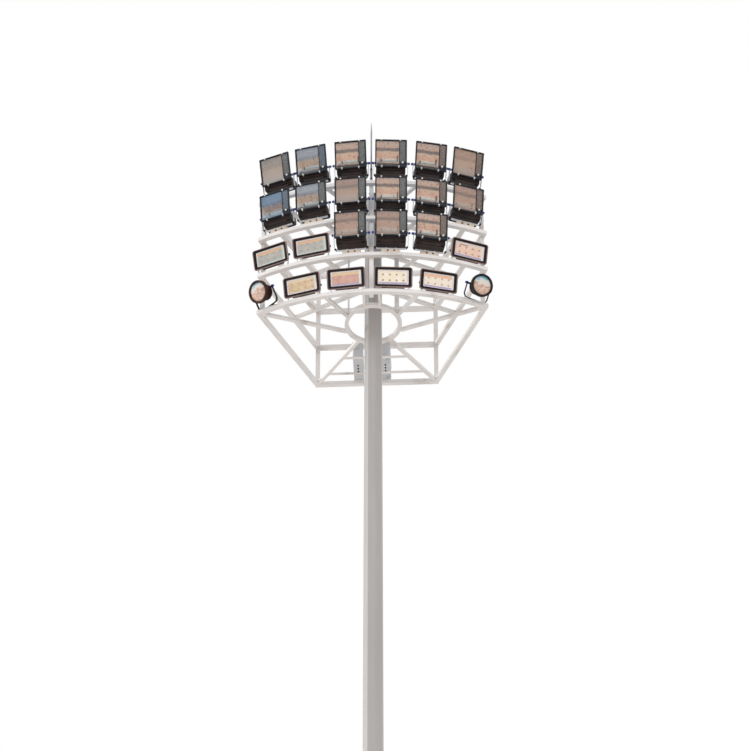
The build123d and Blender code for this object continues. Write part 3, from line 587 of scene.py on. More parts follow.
hinge_cap = turned([0.024, 0.024, 0.019, 0.019, 0.012], [0.0, 0.007, 0.009, 0.028, 0.033], 18)
slot_plug = turned([0.0150, 0.0150, 0.011], [0.0, 0.004, 0.006], 16)
foot_nut = turned([0.012, 0.013, 0.013, 0.011], [0.0, 0.001, 0.011, 0.013], 6)
bend_pad = plates([(0.046, SQUARE_STRAP["depth"] + 0.004, 0.008)] * 2, [-0.0055, 0.016])
diagonal = np.cos(np.pi / 4)
cap_out, pad_in, pad_up = 0.0205, 0.002, 0.023
plug_across, plug_up, plug_out, nut_across, nut_up = 0.052, 0.036, 0.030, 0.075, 0.0085
for tier in range(1, 5):
    straps, feet, caps, pads, nuts, spot_straps, spot_feet = [], [], [], [], [], [], []
    for group, strap in ((floodlights, SQUARE_STRAP), (led_lights, LED_STRAP), (spotlights, SPOT_STRAP)):
        for joint in group:
            if tier_of(joint) != tier:
                continue
            pivot, along, facing = lamp_frame(joint)
            rise, forward = hinge_reach(joint)
            base = pivot - UP * rise - facing * forward
            lean = np.arctan2(forward - strap["base_forward"], rise - strap["base_rise"])
            arm = UP * np.cos(lean) + facing * np.sin(lean)
            bar = bent_strap(pivot, along, facing, rise, forward, **strap)
            (spot_straps if strap is SPOT_STRAP else straps).append(bar)
            for side in (-1, 1):
                spot = pivot + along * side * (strap["half_width"] + cap_out)
                caps.append(skin(placed(hinge_cap, spot, facing * side, UP, along * side)))
            if strap is not SQUARE_STRAP:
                wedge = foot_wedge(base, along, facing, lean, strap)
                (spot_feet if strap is SPOT_STRAP else feet).append(wedge)
                continue
            seat = base + UP * foot_height + facing * foot_forward
            for side in (-1, 1):
                corner = seat + along * side * (strap["half_width"] - pad_in) + arm * pad_up
                flat, up_in = (arm + along * side) * diagonal, (arm - along * side) * diagonal
                pads.append(skin(placed(bend_pad, corner, flat, np.cross(along, arm), up_in)))
            feet.append(foot_channel(base, along, facing))
            for side in (-1, 1):
                spot = base + along * side * plug_across + UP * plug_up + facing * plug_out
                pads.append(skin(placed(slot_plug, spot, along, UP, facing)))
                spot = seat + along * side * nut_across + arm * nut_up
                nuts.append(skin(placed(foot_nut, spot, along, np.cross(arm, along), arm)))
    piece(f"tier_{tier}_straps", straps, strap_zinc_and_sky_reflection, "tower",
          (f"tier_{tier}_stirrups",))
    for name, skins, finish, slot in (("feet", feet, foot_paint, "frame_paint"),
                                      ("hinge_bolts", caps, bolt_blue, "fastener_steel"),
                                      ("spot_straps", spot_straps, edge_finish, "galvanised_steel"),
                                      ("spot_feet", spot_feet, rubber_finish, "frame_paint"),
                                      ("foot_pads", pads, rubber_finish, "seal_rubber"),
                                      ("foot_nuts", nuts, steel_finish, "fastener_steel")):
        if skins:
            piece(f"tier_{tier}_{name}", skins, finish, "tower")


# Square floodlights: a black die-cast front frame on a tapered aluminium housing round a peened reflector,
# closed by a glass pane, with a terminal cover beside the glass and a gear case slung below.
SQUARE_TILT = {1: 15.0, 2: 8.0, 3: 8.0}
FACE, RIM, FACE_FRONT, FACE_MIDDLE = 0.520, 0.022, 0.100, 0.140
OPENING = FACE - 2 * RIM
GLASS_LEFT, GLASS_RIGHT, GLASS_FRONT = -0.236, 0.132, 0.084
GLASS_WIDTH, GLASS_MIDDLE = GLASS_RIGHT - GLASS_LEFT, (GLASS_LEFT + GLASS_RIGHT) / 2
COVER_LEFT, COVER_RIGHT = GLASS_RIGHT + 0.009, OPENING / 2
COVER_WIDTH, COVER_MIDDLE = COVER_RIGHT - COVER_LEFT, (COVER_LEFT + COVER_RIGHT) / 2
TUBE_HEIGHT, TUBE_DEPTH = 0.092, -0.064


def lamp_axes(joint, tilt):
    """The floodlight's own axes at rest: along the hinge, up the face, and out of it, tilted down."""
    pivot, along, facing = lamp_frame(joint)
    tilt = np.radians(tilt)
    out = facing * np.cos(tilt) - UP * np.sin(tilt)
    return pivot, along, np.cross(out, along), out


def carried(forms, axes, loop=False):
    """Closed forms in a floodlight's own axes."""
    return [skin(placed(form, *axes), loop) for form in forms]


def face_map(made, axes, width, height, middle, sight=0.0):
    """UV map over a floodlight's face, 0 to 1 across and up it. With an angle of sight, a point behind the
    glass takes the height at which it shows: its own less its depth times the angle's tangent."""
    mesh = made.data
    pivot, x_axis, y_axis, z_axis = axes
    points = np.zeros(len(mesh.vertices) * 3)
    mesh.vertices.foreach_get("co", points)
    local = (points.reshape(-1, 3) - pivot) @ np.array([x_axis, y_axis, z_axis]).T
    shown = local[:, 1] - (GLASS_FRONT - local[:, 2]) * np.tan(np.radians(sight))
    uv = np.column_stack([local[:, 0] / width + 0.5, (shown - middle) / height + 0.5])
    corners = np.zeros(len(mesh.loops), np.int32)
    mesh.loops.foreach_get("vertex_index", corners)
    mesh.uv_layers.new(name="UVMap").data.foreach_set("uv", uv[corners].ravel())


def combined(tree, operation, *values):
    """One value from two or three, each given as a socket or a number."""
    sum_up = tree.nodes.new("ShaderNodeMath")
    sum_up.operation = operation
    for socket, value in zip(sum_up.inputs, values):
        if isinstance(value, float):
            socket.default_value = value
        else:
            tree.links.new(value, socket)
    return sum_up.outputs["Value"]


def face_value(tree, axis, wave=None, amount=0.0):
    """The face map's value along one axis, with a little of a cloudy value added."""
    face = tree.nodes.new("ShaderNodeUVMap")
    split = tree.nodes.new("ShaderNodeSeparateXYZ")
    tree.links.new(face.outputs["UV"], split.inputs["Vector"])
    if wave is None:
        return split.outputs[axis]
    return combined(tree, "MULTIPLY_ADD", wave, amount, split.outputs[axis])


def levels(tree, value, stops):
    """Grey levels along a value, as shares or opacities: each stop is a position and a level."""
    return ramp(tree, value, [(position, (level, level, level, 1.0)) for position, level in stops])


def blended(tree, share, first, second, way="MIX"):
    """One colour where the share is 0 and another where it is 1."""
    mix = tree.nodes.new("ShaderNodeMix")
    mix.data_type = "RGBA"
    mix.blend_type = way
    for number, value in ((0, share), (6, first), (7, second)):
        if isinstance(value, (float, tuple)):
            mix.inputs[number].default_value = value
        else:
            tree.links.new(value, mix.inputs[number])
    return mix.outputs[2]


# The housing's blue-grey is a painted reflection of the sky on its sides.
sky_reflection_shell_finish = cloudy("blue_grey_shell_painted_sky_reflection", (92, 116, 146), (120, 144, 172), 6.0, 0.5, 4.0, grit=400.0)
case_finish = cloudy("brown_gear_case", (42, 31, 29), (68, 54, 50), 5.0, 0.5, 4.0, LOW_GLOSS, grit=350.0)
clip_finish = cloudy("bright_clip", (206, 202, 198), (234, 231, 228), 50.0, 0.35)
tube_finish = cloudy("lamp_tube_glass", (196, 222, 228), (222, 240, 242), 12.0, 0.12)
ceramic_finish = cloudy("brown_ceramic", (66, 44, 32), (92, 62, 46), 40.0, 0.4)


def speckled(name, dark, light):
    """Stove enamel with fine light and dark speckles."""
    finish, tree, shader, place = new_finish(name)
    stops = [(0.36, paint(*dark)), (0.5, shade(paint(*light), 0.82)), (0.64, paint(*light))]
    coat(tree, shader, ramp(tree, noise(tree, place, 60.0, 5.0), stops), 0.6)
    return finish


def reflector_painted_light(name, stops):
    """Peened aluminium with painted light: bands up the face that are painted reflections of the ground and the
    sky and painted shade from its own folds, and fine painted glints and dark specks of reflection.
    """
    finish, tree, shader, place = new_finish(name)
    level = face_value(tree, "Y", noise(tree, place, 7.0, 3.0), 0.07)
    painted_reflection_bands = tones(tree, level, stops)
    painted_glint_specks = ramp(tree, noise(tree, place, 26.0, 5.0, (1.0, 1.0, 2.0)), [
        (0.34, (0.45, 0.38, 0.34, 1.0)), (0.42, (1.0, 1.0, 1.0, 1.0)), (0.9, (1.12, 1.1, 1.08, 1.0))])
    coat(tree, shader, blended(tree, 1.0, painted_reflection_bands, painted_glint_specks, "MULTIPLY"), 0.42)
    grain(tree, shader, cells(tree, place, 70.0), 0.25, 0.003)
    return finish


def glass_pane(name, colours, alphas, roughness):
    """Glass with dust in it, and on the blue panes a painted sky reflection: colours and opacities as stops up the
    face.
    """
    finish, tree, shader, place = new_finish(name)
    level = face_value(tree, "Y", noise(tree, place, 4.0), 0.1)
    coat(tree, shader, tones(tree, level, colours), roughness)
    tree.links.new(levels(tree, level, alphas), shader.inputs["Alpha"])
    return finish


covers = {"blue": speckled("blue_grey_cover", (58, 68, 80), (106, 118, 130)),
          "grey": speckled("grey_cover", (62, 66, 68), (118, 120, 118)),
          "brown": speckled("brown_cover", (88, 76, 70), (134, 118, 109))}
# Each list of stops is painted reflection and painted shade: the light tones are lightened against the shade
# inside the trough, and the dark stops about two thirds up are a band of painted shade.
reflectors = {
    "warm": reflector_painted_light("warm_reflector", [
        (0.06, (222, 204, 192)), (0.12, (222, 204, 192)), (0.24, (250, 234, 222)), (0.31, (254, 232, 214)),
        (0.37, (242, 198, 174)), (0.50, (252, 212, 184)), (0.60, (254, 228, 204)), (0.65, (132, 122, 118)),
        (0.74, (136, 124, 120)), (0.78, (246, 214, 196)), (0.90, (255, 228, 212)), (1.0, (230, 206, 192))]),
    "pale": reflector_painted_light("pale_reflector", [
        (0.06, (220, 210, 204)), (0.24, (248, 238, 230)), (0.34, (244, 216, 192)), (0.50, (255, 222, 190)),
        (0.60, (250, 222, 196)), (0.65, (150, 146, 146)), (0.74, (160, 157, 157)), (0.80, (222, 214, 210)),
        (1.0, (214, 206, 202))])}
panes = {
    "clear": glass_pane("clear_glass", [(0.0, (222, 214, 208)), (1.0, (212, 204, 200))],
                        [(0.0, 0.06), (1.0, 0.10)], 0.06),
    "thin": glass_pane("thin_glass", [(0.0, (236, 232, 230)), (1.0, (236, 232, 230))],
                       [(0.0, 0.03), (1.0, 0.04)], 0.12),
    "dusty": glass_pane("dusty_glass", [(0.0, (206, 184, 170)), (1.0, (184, 160, 148))],
                        [(0.0, 0.34), (1.0, 0.26)], 0.16),
    "hazy": glass_pane("hazy_glass", [(0.1, (196, 184, 178)), (0.5, (202, 180, 162)),
                                      (0.75, (172, 152, 144)), (1.0, (190, 166, 156))],
                       [(0.0, 0.46), (1.0, 0.40)], 0.2),
    "grey": glass_pane("grey_glass", [(0.1, (206, 198, 192)), (0.6, (200, 186, 174)), (1.0, (178, 172, 168))],
                       [(0.0, 0.50), (1.0, 0.38)], 0.2),
    "peach": glass_pane("peach_glass", [(0.1, (206, 188, 176)), (0.6, (208, 182, 164)),
                                        (1.0, (198, 170, 152))], [(0.0, 0.46), (1.0, 0.34)], 0.2),
    # The blue panes' colours and the bands in their opacity are a painted reflection of the sky.
    "blue": glass_pane("blue_glass_painted_sky_reflection", [(0.2, (206, 212, 218)), (0.6, (176, 186, 198)), (1.0, (168, 180, 194))],
                       [(0.0, 0.14), (0.45, 0.04), (0.62, 0.16), (0.74, 0.38), (1.0, 0.44)], 0.1),
    "deep_blue": glass_pane("deep_blue_glass_painted_sky_reflection", [(0.2, (176, 200, 220)), (0.6, (138, 160, 186)),
                                                (1.0, (126, 152, 180))],
                            [(0.0, 0.50), (0.20, 0.20), (0.40, 0.05), (0.60, 0.22), (0.72, 0.58),
                             (1.0, 0.68)], 0.1)}
cover_rows = {1: ("grey", "blue", "grey", "grey", "brown", "brown"),
              2: ("blue", "grey", "grey", "grey", "brown", "brown"), 3: ("grey", "grey", "brown")}
pane_rows = {1: ("grey", "blue", "clear", "clear", "clear", "peach"),
             2: ("deep_blue", "blue", "hazy", "clear", "clear", "dusty"), 3: ("dusty", "dusty", "clear")}


def face_rings(sizes, u=0.0, v=FACE_MIDDLE, steps=3):
    """Rounded rectangles at their distances out of the face: width, height, corner radius, distance."""
    return layers([rounded(*size[:3], steps) for size in sizes], [size[3] for size in sizes], (u, v))


def front_frame_loop():
    """The front frame's section carried round the face and joined to itself."""
    sizes = ((OPENING, 0.004, 0.066), (OPENING, 0.004, 0.095), (OPENING + 0.006, 0.006, FACE_FRONT),
             (FACE - 0.008, 0.010, FACE_FRONT), (FACE, 0.012, 0.096), (FACE, 0.012, 0.070),
             (FACE - 0.006, 0.012, 0.066))
    return face_rings([(width, width, radius, out) for width, radius, out in sizes])


def sideways(rings, spot, side=1):
    """Rings whose third axis runs along the hinge, to one side."""
    return placed(rings, spot, (0, 1, 0), (0, 0, 1), (side, 0, 0))


def shell_forms():
    """The housing as one closed shell, from the inner back wall up the inside of the taper and down the
    outside to the back wall, with an ear for each hinge bolt and upright ribs on its back."""
    taper = face_rings([(0.335, 0.275, 0.020, -0.124), (0.490, 0.490, 0.020, 0.064),
                        (0.502, 0.502, 0.016, 0.0655), (0.502, 0.502, 0.016, 0.058),
                        (0.352, 0.292, 0.030, -0.122), (0.340, 0.280, 0.030, -0.130)])
    ear = turned([0.030, 0.019, 0.019], [0.0, 0.03, 0.0975], 20)
    rib = plates([(0.006, 0.270, 0.002), (0.004, 0.246, 0.001)], [-0.129, -0.141], 1)
    return [taper, *(sideways(ear, (side * 0.175, 0.0, 0.0), side) for side in (-1, 1)),
            *(rib + (u, FACE_MIDDLE, 0.0) for u in np.linspace(-0.13, 0.13, 7))]


def frame_forms():
    """Cast lugs on the frame's two sides, where the hinged front is screwed down, the dark bar between the
    glass and the terminal cover, and the black box below the cover that takes the cable gland."""
    lug = plates([(0.018, 0.034, 0.005), (0.018, 0.034, 0.005), (0.012, 0.026, 0.004)], [0.074, 0.100, 0.103])
    lugs = [lug + (side * 0.251, v, 0.0) for side in (-1, 1) for v in (-0.06, 0.10, 0.26, 0.37)]
    bar = face_rings([(0.010, OPENING, 0.001, 0.070), (0.010, OPENING, 0.001, 0.094)], GLASS_RIGHT + 0.004)
    box = face_rings([(COVER_WIDTH, 0.080, 0.004, 0.070), (COVER_WIDTH, 0.080, 0.004, 0.086),
                      (COVER_WIDTH - 0.008, 0.072, 0.004, 0.090)],
                     COVER_MIDDLE, FACE_MIDDLE - OPENING / 2 + 0.042)
    return [*lugs, bar, box]


def gear_case_forms():
    """The gear case: its side outline carried along the hinge, a little smaller at both ends, with a flange
    and a drip step along its front and flat seam ribs along its underside."""
    outline = np.array([[0.050, -0.030], [0.050, -0.166], [0.036, -0.180], [-0.188, -0.180],
                        [-0.230, -0.138], [-0.230, -0.058], [-0.202, -0.030]])
    middle = np.array([-0.09, -0.105])
    ends = ((-0.240, 0.90), (-0.236, 0.97), (-0.226, 1.0), (0.226, 1.0), (0.236, 0.97), (0.240, 0.90))
    sections = []
    for u, size in ends:
        section = middle + (outline - middle) * size
        sections.append(np.column_stack([np.full(len(section), u), section[:, 1], section[:, 0]]))
    flanges = [plates([(0.450, high, high / 3)] * 2 + [(0.444, high / 2, high / 5)], [0.046, 0.055, 0.058], 2)
               + (0.0, v, 0.0) for v, high in ((-0.150, 0.008), (-0.076, 0.004))]
    seam = plates([(0.440, 0.010, 0.003), (0.436, 0.007, 0.003)], [0.0, 0.005], 2)
    seams = [placed(seam, (0.0, -0.1795, out), (1, 0, 0), (0, 0, 1), (0, -1, 0))
             for out in (-0.02, -0.10, -0.17)]
    return [np.stack(sections), *flanges, *seams]


def gasket_and_shadow_gap_forms():
    """A black strip between the front frame and the gear case, which is a painted shadow gap, and black rubber
    along the case's drip step and at its corners.
    """
    # A painted shadow: the black strip along the gap under the front frame.
    top = plates([(0.470, 0.030, 0.004)] * 2, [0.046, 0.0545]) + (0.0, -0.046, 0.0)
    groove = plates([(0.452, 0.012, 0.003)] * 2, [0.046, 0.0525]) + (0.0, -0.162, 0.0)
    foot = plates([(0.060, 0.040, 0.012)] * 2 + [(0.050, 0.030, 0.010)], [0.0, 0.010, 0.014])
    return [top, groove, *(placed(foot, (side * 0.195, -0.179, 0.010), (1, 0, 0), (0, 0, 1), (0, -1, 0))
                           for side in (-1, 1))]


def clip_forms():
    """Spring clips over the frame's top and bottom edge: a flat tongue with a turned-over end, and the cable
    gland's plug on the terminal cover."""
    tongue = plates([(0.024, 0.024, 0.005)] * 2 + [(0.018, 0.018, 0.004)],
                    FACE_FRONT + np.array([-0.001, 0.003, 0.005]))
    end = plates([(0.020, 0.030, 0.003)] * 2, [0.0, 0.004])
    forms = []
    for u, v, side in ((-0.160, 0.400, 1), (0.150, 0.400, 1), (-0.150, -0.120, -1), (0.130, -0.120, -1)):
        forms.append(tongue + (u, v - side * 0.013, 0.0))
        forms.append(placed(end, (u, v, FACE_FRONT - 0.014), (1, 0, 0), (0, 0, 1), (0, side, 0)))
    return [*forms, turned([0.017, 0.017, 0.012], [0.090, 0.097, 0.100], 16) + (0.190, -0.030, 0.0)]


def cover_forms():
    """The terminal cover beside the glass, a shallow tray with rounded edges."""
    low = 0.082
    height = OPENING - 0.004 - low
    return [face_rings([(COVER_WIDTH, height, 0.005, 0.074), (COVER_WIDTH, height, 0.005, 0.088),
                        (COVER_WIDTH - 0.008, height - 0.008, 0.004, 0.091)],
                       COVER_MIDDLE, FACE_MIDDLE + low / 2)]


def pane_forms():
    """The pane, a slab with ground edges."""
    return [face_rings([(GLASS_WIDTH - edge, OPENING - 0.001 - edge, 0.004, out) for edge, out in
                        ((0.001, 0.078), (0.0, 0.079), (0.0, 0.083), (0.001, GLASS_FRONT))], GLASS_MIDDLE)]


def tube_forms():
    """The lamp: a straight glass tube with drawn-in ends."""
    rings = turned([0.004, 0.014, 0.017, 0.017, 0.017, 0.014, 0.004],
                   [-0.150, -0.146, -0.13, -0.03, 0.090, 0.103, 0.108], 16)
    return [sideways(rings, (0.0, TUBE_HEIGHT, TUBE_DEPTH))]


def socket_forms():
    """Dark ceramic sockets at both ends of the tube, the right one on a tall bracket."""
    forms = []
    for u, width, high, shift in ((-0.155, 0.020, 0.040, 0.006), (0.112, 0.026, 0.100, 0.036)):
        end, middle = (high - 0.006, 0.040, 0.008), (high, 0.046, 0.010)
        block = plates([end, middle, middle, end], np.array([-0.5, -0.4, 0.4, 0.5]) * width)
        forms.append(sideways(block, (u, TUBE_HEIGHT + shift, TUBE_DEPTH)))
    return forms


def reflector_trough(name, axes, body, finish, sight):
    """The reflector: a trough whose depth goes as the square root of one minus the square of the height
    across the opening, at most as deep as the housing's slanted wall, with cheeks that turn forward at both
    ends, the left one in a wider sweep."""
    deepest, mouth, trough_half, wall_slope = 0.182, 0.245, 0.240, 0.572
    u, v = np.meshgrid(np.linspace(-1.0, 1.0, 33), np.linspace(-1.0, 1.0, 41))
    cheek = 1.0 - np.where(u < 0, np.abs(u) ** 4, np.abs(u) ** 12)
    slant = 0.002 + (mouth - trough_half * np.abs(v)) / wall_slope
    depth = np.minimum(deepest * np.sqrt(1.0 - v**2) * cheek, slant)
    grid = np.stack([GLASS_MIDDLE + u * (GLASS_WIDTH / 2 + 0.003), FACE_MIDDLE + v * (OPENING / 2 + 0.002),
                     0.070 - depth], -1)
    index = np.arange(u.size).reshape(u.shape)
    faces = np.stack([index[:-1, :-1], index[:-1, 1:], index[1:, 1:], index[1:, :-1]], -1).reshape(-1, 4)
    mesh = bpy.data.meshes.new(name)
    mesh.from_pydata(placed(grid.reshape(-1, 3), *axes).tolist(), [], faces.tolist())
    mesh.shade_smooth()
    mesh.materials.append(finish)
    made = bpy.data.objects.new(name, mesh)
    bpy.context.scene.collection.objects.link(made)
    face_map(made, axes, FACE, OPENING, FACE_MIDDLE, sight)
    wall = made.modifiers.new("wall", "SOLIDIFY")
    wall.thickness = 0.001
    wall.offset = -1.0
    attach(made, body)


photo_rise = 45.0
for joint in floodlights:
    body = joint["child"]
    tilt = SQUARE_TILT[tier_of(joint)]
    axes = lamp_axes(joint, tilt)
    pane_kind = kind_of(joint, pane_rows)
    reflector = reflectors["pale" if pane_kind in ("grey", "blue", "deep_blue") else "warm"]
    piece(f"{body}_shell", carried(shell_forms(), axes), sky_reflection_shell_finish, body, (body,))
    piece(f"{body}_front_frame", carried([front_frame_loop()], axes, True) + carried(frame_forms(), axes),
          edge_finish, body)
    piece(f"{body}_gear_case", carried(gear_case_forms(), axes), case_finish, body)
    piece(f"{body}_gaskets_and_shadow_gap", carried(gasket_and_shadow_gap_forms(), axes), rubber_finish, body)
    piece(f"{body}_clips", carried(clip_forms(), axes), clip_finish, body)
    piece(f"{body}_cover", carried(cover_forms(), axes), covers[kind_of(joint, cover_rows)], body)
    pane = piece(f"{body}_pane", carried(pane_forms(), axes), panes[pane_kind], body)
    face_map(pane, axes, FACE, OPENING, FACE_MIDDLE)
    piece(f"{body}_tube", carried(tube_forms(), axes), tube_finish, body)
    piece(f"{body}_sockets", carried(socket_forms(), axes), ceramic_finish, body)
    reflector_trough(f"{body}_reflector", axes, body, reflector, photo_rise - tilt)


# LED floodlights: a cast bezel with a black gasket round a glass pane, over a board of eight light chips in a pale
# tray, with cooling fins and a dark driver case behind. The driver case's dark brown also stands for the shadow
# below the lamp.
LED, LED_GASKET, LED_PANEL, LED_BODY = (0.620, 0.365), (0.584, 0.337), (0.494, 0.258), (0.496, 0.250)
LED_FRONT, LED_MIDDLE, LED_TILT = 0.115, 0.020, 18.0
bezel_finish = cloudy("brown_bezel", (132, 108, 103), (158, 132, 126), 6.0, 0.45)
gasket_finish = cloudy("black_gasket", (14, 9, 9), (30, 20, 20), 20.0, 0.55, gloss=LOW_GLOSS)
fin_finish = cloudy("dark_fins", (34, 24, 24), (54, 40, 38), 6.0, 0.5, gloss=LOW_GLOSS)
tray_finish = cloudy("pale_tray", (228, 222, 224), (244, 240, 240), 10.0, 0.35)
chips = {"tan": cloudy("tan_chip", (198, 168, 128), (212, 182, 140), 60.0, 0.4),
         "amber": cloudy("amber_chip", (168, 138, 104), (196, 164, 126), 60.0, 0.4),
         "rose": cloudy("rose_chip", (206, 166, 150), (222, 184, 168), 60.0, 0.4),
         "grey": cloudy("grey_chip", (150, 154, 150), (172, 174, 168), 60.0, 0.4)}


def light_board(name, low, high, top, foot, side, dark_reflection_streak=None):
    """A light board in two cloudy tones, with painted reflections of what its glass shows: a band along the top, a
    strip along the foot and one up the right-hand side, and on one board a dark streak near its top left corner."""
    finish, tree, shader, place = new_finish(name)
    cloud = noise(tree, place, 14.0, 5.0)
    colour = tones(tree, cloud, [(0.35, low), (0.65, high)])
    across, up_face = face_value(tree, "X"), face_value(tree, "Y", cloud, 0.05)
    for value, (tone, start), rise, below, above in ((up_face, top, (-0.02, 0.03), 0.0, 0.9),
                                                     (up_face, foot, (0.0, 0.02), 1.0, 0.0),
                                                     (across, side, (0.0, 0.01), 0.0, 1.0)):
        share = levels(tree, value, [(start + rise[0], below), (start + rise[1], above)])
        colour = blended(tree, share, colour, paint(*tone))
    if dark_reflection_streak:
        along_dark_reflection = levels(tree, across, [(0.10, 0.0), (0.14, 1.0), (0.40, 1.0), (0.46, 0.0)])
        over_dark_reflection = levels(tree, up_face, [(0.86, 0.0), (0.88, 1.0), (0.91, 1.0), (0.93, 0.0)])
        share = combined(tree, "MULTIPLY", along_dark_reflection, over_dark_reflection)
        colour = blended(tree, share, colour, paint(*dark_reflection_streak))
    coat(tree, shader, colour, 0.45)
    return finish


# Painted reflections in the boards' glass: a white strip up the right-hand side and a lilac strip along the foot.
white_reflection_strip, lilac_reflection_strip = (240, 238, 236), (178, 164, 206)
boards = {
    "grey": light_board("grey_board", (176, 178, 172), (196, 190, 178), ((232, 186, 144), 0.78),
                        ((190, 212, 202), 0.08), ((196, 218, 206), 0.94)),
    "orange": light_board("orange_board", (242, 202, 182), (250, 218, 198), ((246, 214, 194), 0.86),
                          (lilac_reflection_strip, 0.13), (white_reflection_strip, 0.95), (60, 46, 42)),
    "tan": light_board("tan_board", (212, 182, 142), (232, 204, 166), ((240, 216, 180), 0.84),
                       ((228, 220, 214), 0.08), ((234, 228, 222), 0.94)),
    "pink": light_board("pink_board", (206, 154, 138), (224, 178, 160), ((236, 206, 162), 0.80),
                        (lilac_reflection_strip, 0.10), (white_reflection_strip, 0.95)),
    "cream": light_board("cream_board", (252, 238, 210), (255, 246, 228), ((252, 238, 212), 0.84),
                         (lilac_reflection_strip, 0.13), ((236, 230, 240), 0.96)),
    "pale": light_board("pale_board", (248, 234, 214), (254, 242, 226), ((244, 190, 148), 0.80),
                        (lilac_reflection_strip, 0.13), (white_reflection_strip, 0.96))}
board_rows = {3: ("grey", "grey", "orange"), 4: ("tan", "pink", "cream", "pale")}
chip_rows = {3: ("grey", "grey", "amber"), 4: ("tan", "rose", "amber", "rose")}


def led_rings(sizes):
    """Rounded rectangles at their distances out of the face: a size drawn in by an amount on every side,
    its corner radius and its distance."""
    return face_rings([(width - 2 * inset, height - 2 * inset, radius, out)
                       for (width, height), inset, radius, out in sizes], 0.0, LED_MIDDLE, 5)


board_inset = 0.017
led_bezel = led_rings([
    (LED_PANEL, 0.004, 0.020, 0.0905), (LED_GASKET, 0.0, 0.026, 0.0905), (LED_GASKET, 0.0, 0.026, 0.112),
    (LED, 0.012, 0.036, LED_FRONT), (LED, 0.005, 0.040, 0.1135), (LED, 0.0, 0.042, 0.108),
    (LED, 0.0, 0.042, 0.095), (LED, 0.004, 0.040, 0.0905), (LED_BODY, 0.0, 0.020, 0.0900),
    (LED_BODY, 0.0, 0.020, 0.044), (LED_BODY, 0.004, 0.016, 0.0385)])
led_gasket = led_rings([
    (LED_PANEL, 0.0, 0.012, 0.092), (LED_PANEL, 0.0, 0.012, 0.108), (LED_PANEL, -0.004, 0.014, 0.1105),
    (LED_GASKET, 0.002, 0.026, 0.1120), (LED_GASKET, 0.0005, 0.026, 0.092)])
led_tray = led_rings([(LED_PANEL, 0.0005, 0.012, 0.104), (LED_PANEL, 0.016, 0.008, 0.0925),
                      (LED_PANEL, 0.016, 0.008, 0.0915), (LED_PANEL, 0.0005, 0.012, 0.0915)])
led_board = led_rings([(LED_PANEL, board_inset, 0.006, 0.0920), (LED_PANEL, board_inset, 0.006, 0.0940)])
led_pane = led_rings([(LED_PANEL, 0.001, 0.011, 0.1045), (LED_PANEL, 0.0005, 0.011, 0.1050),
                      (LED_PANEL, 0.0005, 0.011, 0.1072), (LED_PANEL, 0.001, 0.011, 0.1076)])
led_fin = plates([(0.005, 0.246, 0.002)] * 2 + [(0.003, 0.226, 0.001)], [0.041, 0.006, 0.0], 1)
led_fins = [led_fin + (u, LED_MIDDLE, 0.0) for u in np.linspace(-0.244, 0.244, 19)]
led_ear = turned([0.028, 0.018, 0.018], [0.0, 0.006, 0.0145], 20)
for side in (-1, 1):
    led_fins.append(sideways(led_ear, (side * 0.246, 0.0, 0.0), side))
    led_fins.append(plates([(0.010, 0.056, 0.004)] * 2, [-0.024, 0.070]) + (side * 0.241, 0.0, 0.0))
# Painted shadow in part: the dark driver case also stands for the shadow below the lamp.
driver_case = np.array([[0.058, -0.104], [0.060, -0.108], [0.060, -0.132], [0.050, -0.140], [0.012, -0.140],
                        [0.002, -0.130], [0.002, -0.104]])
led_fins.append(np.stack([
    np.column_stack([np.full(len(driver_case), u), driver_case[:, 1] * size - 0.12 * (1 - size),
                     driver_case[:, 0] * size + 0.03 * (1 - size)])
    for u, size in ((-0.186, 0.94), (-0.182, 1.0), (0.182, 1.0), (0.186, 0.94))]))
led_chip = turned([0.017, 0.017, 0.013], [0.0938, 0.0956, 0.0962], 18)
led_chips = [led_chip + (u, LED_MIDDLE + v, 0.0) for u in (-0.165, -0.055, 0.055, 0.165)
             for v in (-0.052, 0.048)]

for joint in led_lights:
    body = joint["child"]
    axes = lamp_axes(joint, LED_TILT)
    piece(f"{body}_bezel", carried([led_bezel], axes), bezel_finish, body, (body,))
    piece(f"{body}_fins", carried(led_fins, axes), fin_finish, body)
    piece(f"{body}_gasket", carried([led_gasket], axes, True), gasket_finish, body)
    piece(f"{body}_tray", carried([led_tray], axes, True), tray_finish, body)
    board = piece(f"{body}_board", carried([led_board], axes), boards[kind_of(joint, board_rows)], body)
    face_map(board, axes, LED_PANEL[0] - 2 * board_inset, LED_PANEL[1] - 2 * board_inset, LED_MIDDLE)
    piece(f"{body}_chips", carried(led_chips, axes), chips[kind_of(joint, chip_rows)], body)
    pane = piece(f"{body}_pane", carried([led_pane], axes), panes["thin"], body)
    face_map(pane, axes, *LED_PANEL, LED_MIDDLE)


# Spotlights: spun and cast barrels with a deep black rim round a lens, each at an end of the lowest beam.
SPOT_TILT, LENS_MAP = 30.0, 0.600
barrel_finish = cloudy("black_barrel", (20, 17, 18), (38, 32, 33), 8.0, 0.4, gloss=LOW_GLOSS)
rust_finish = cloudy("red_brown_barrel", (44, 22, 20), (66, 36, 32), 8.0, 0.45, gloss=LOW_GLOSS)
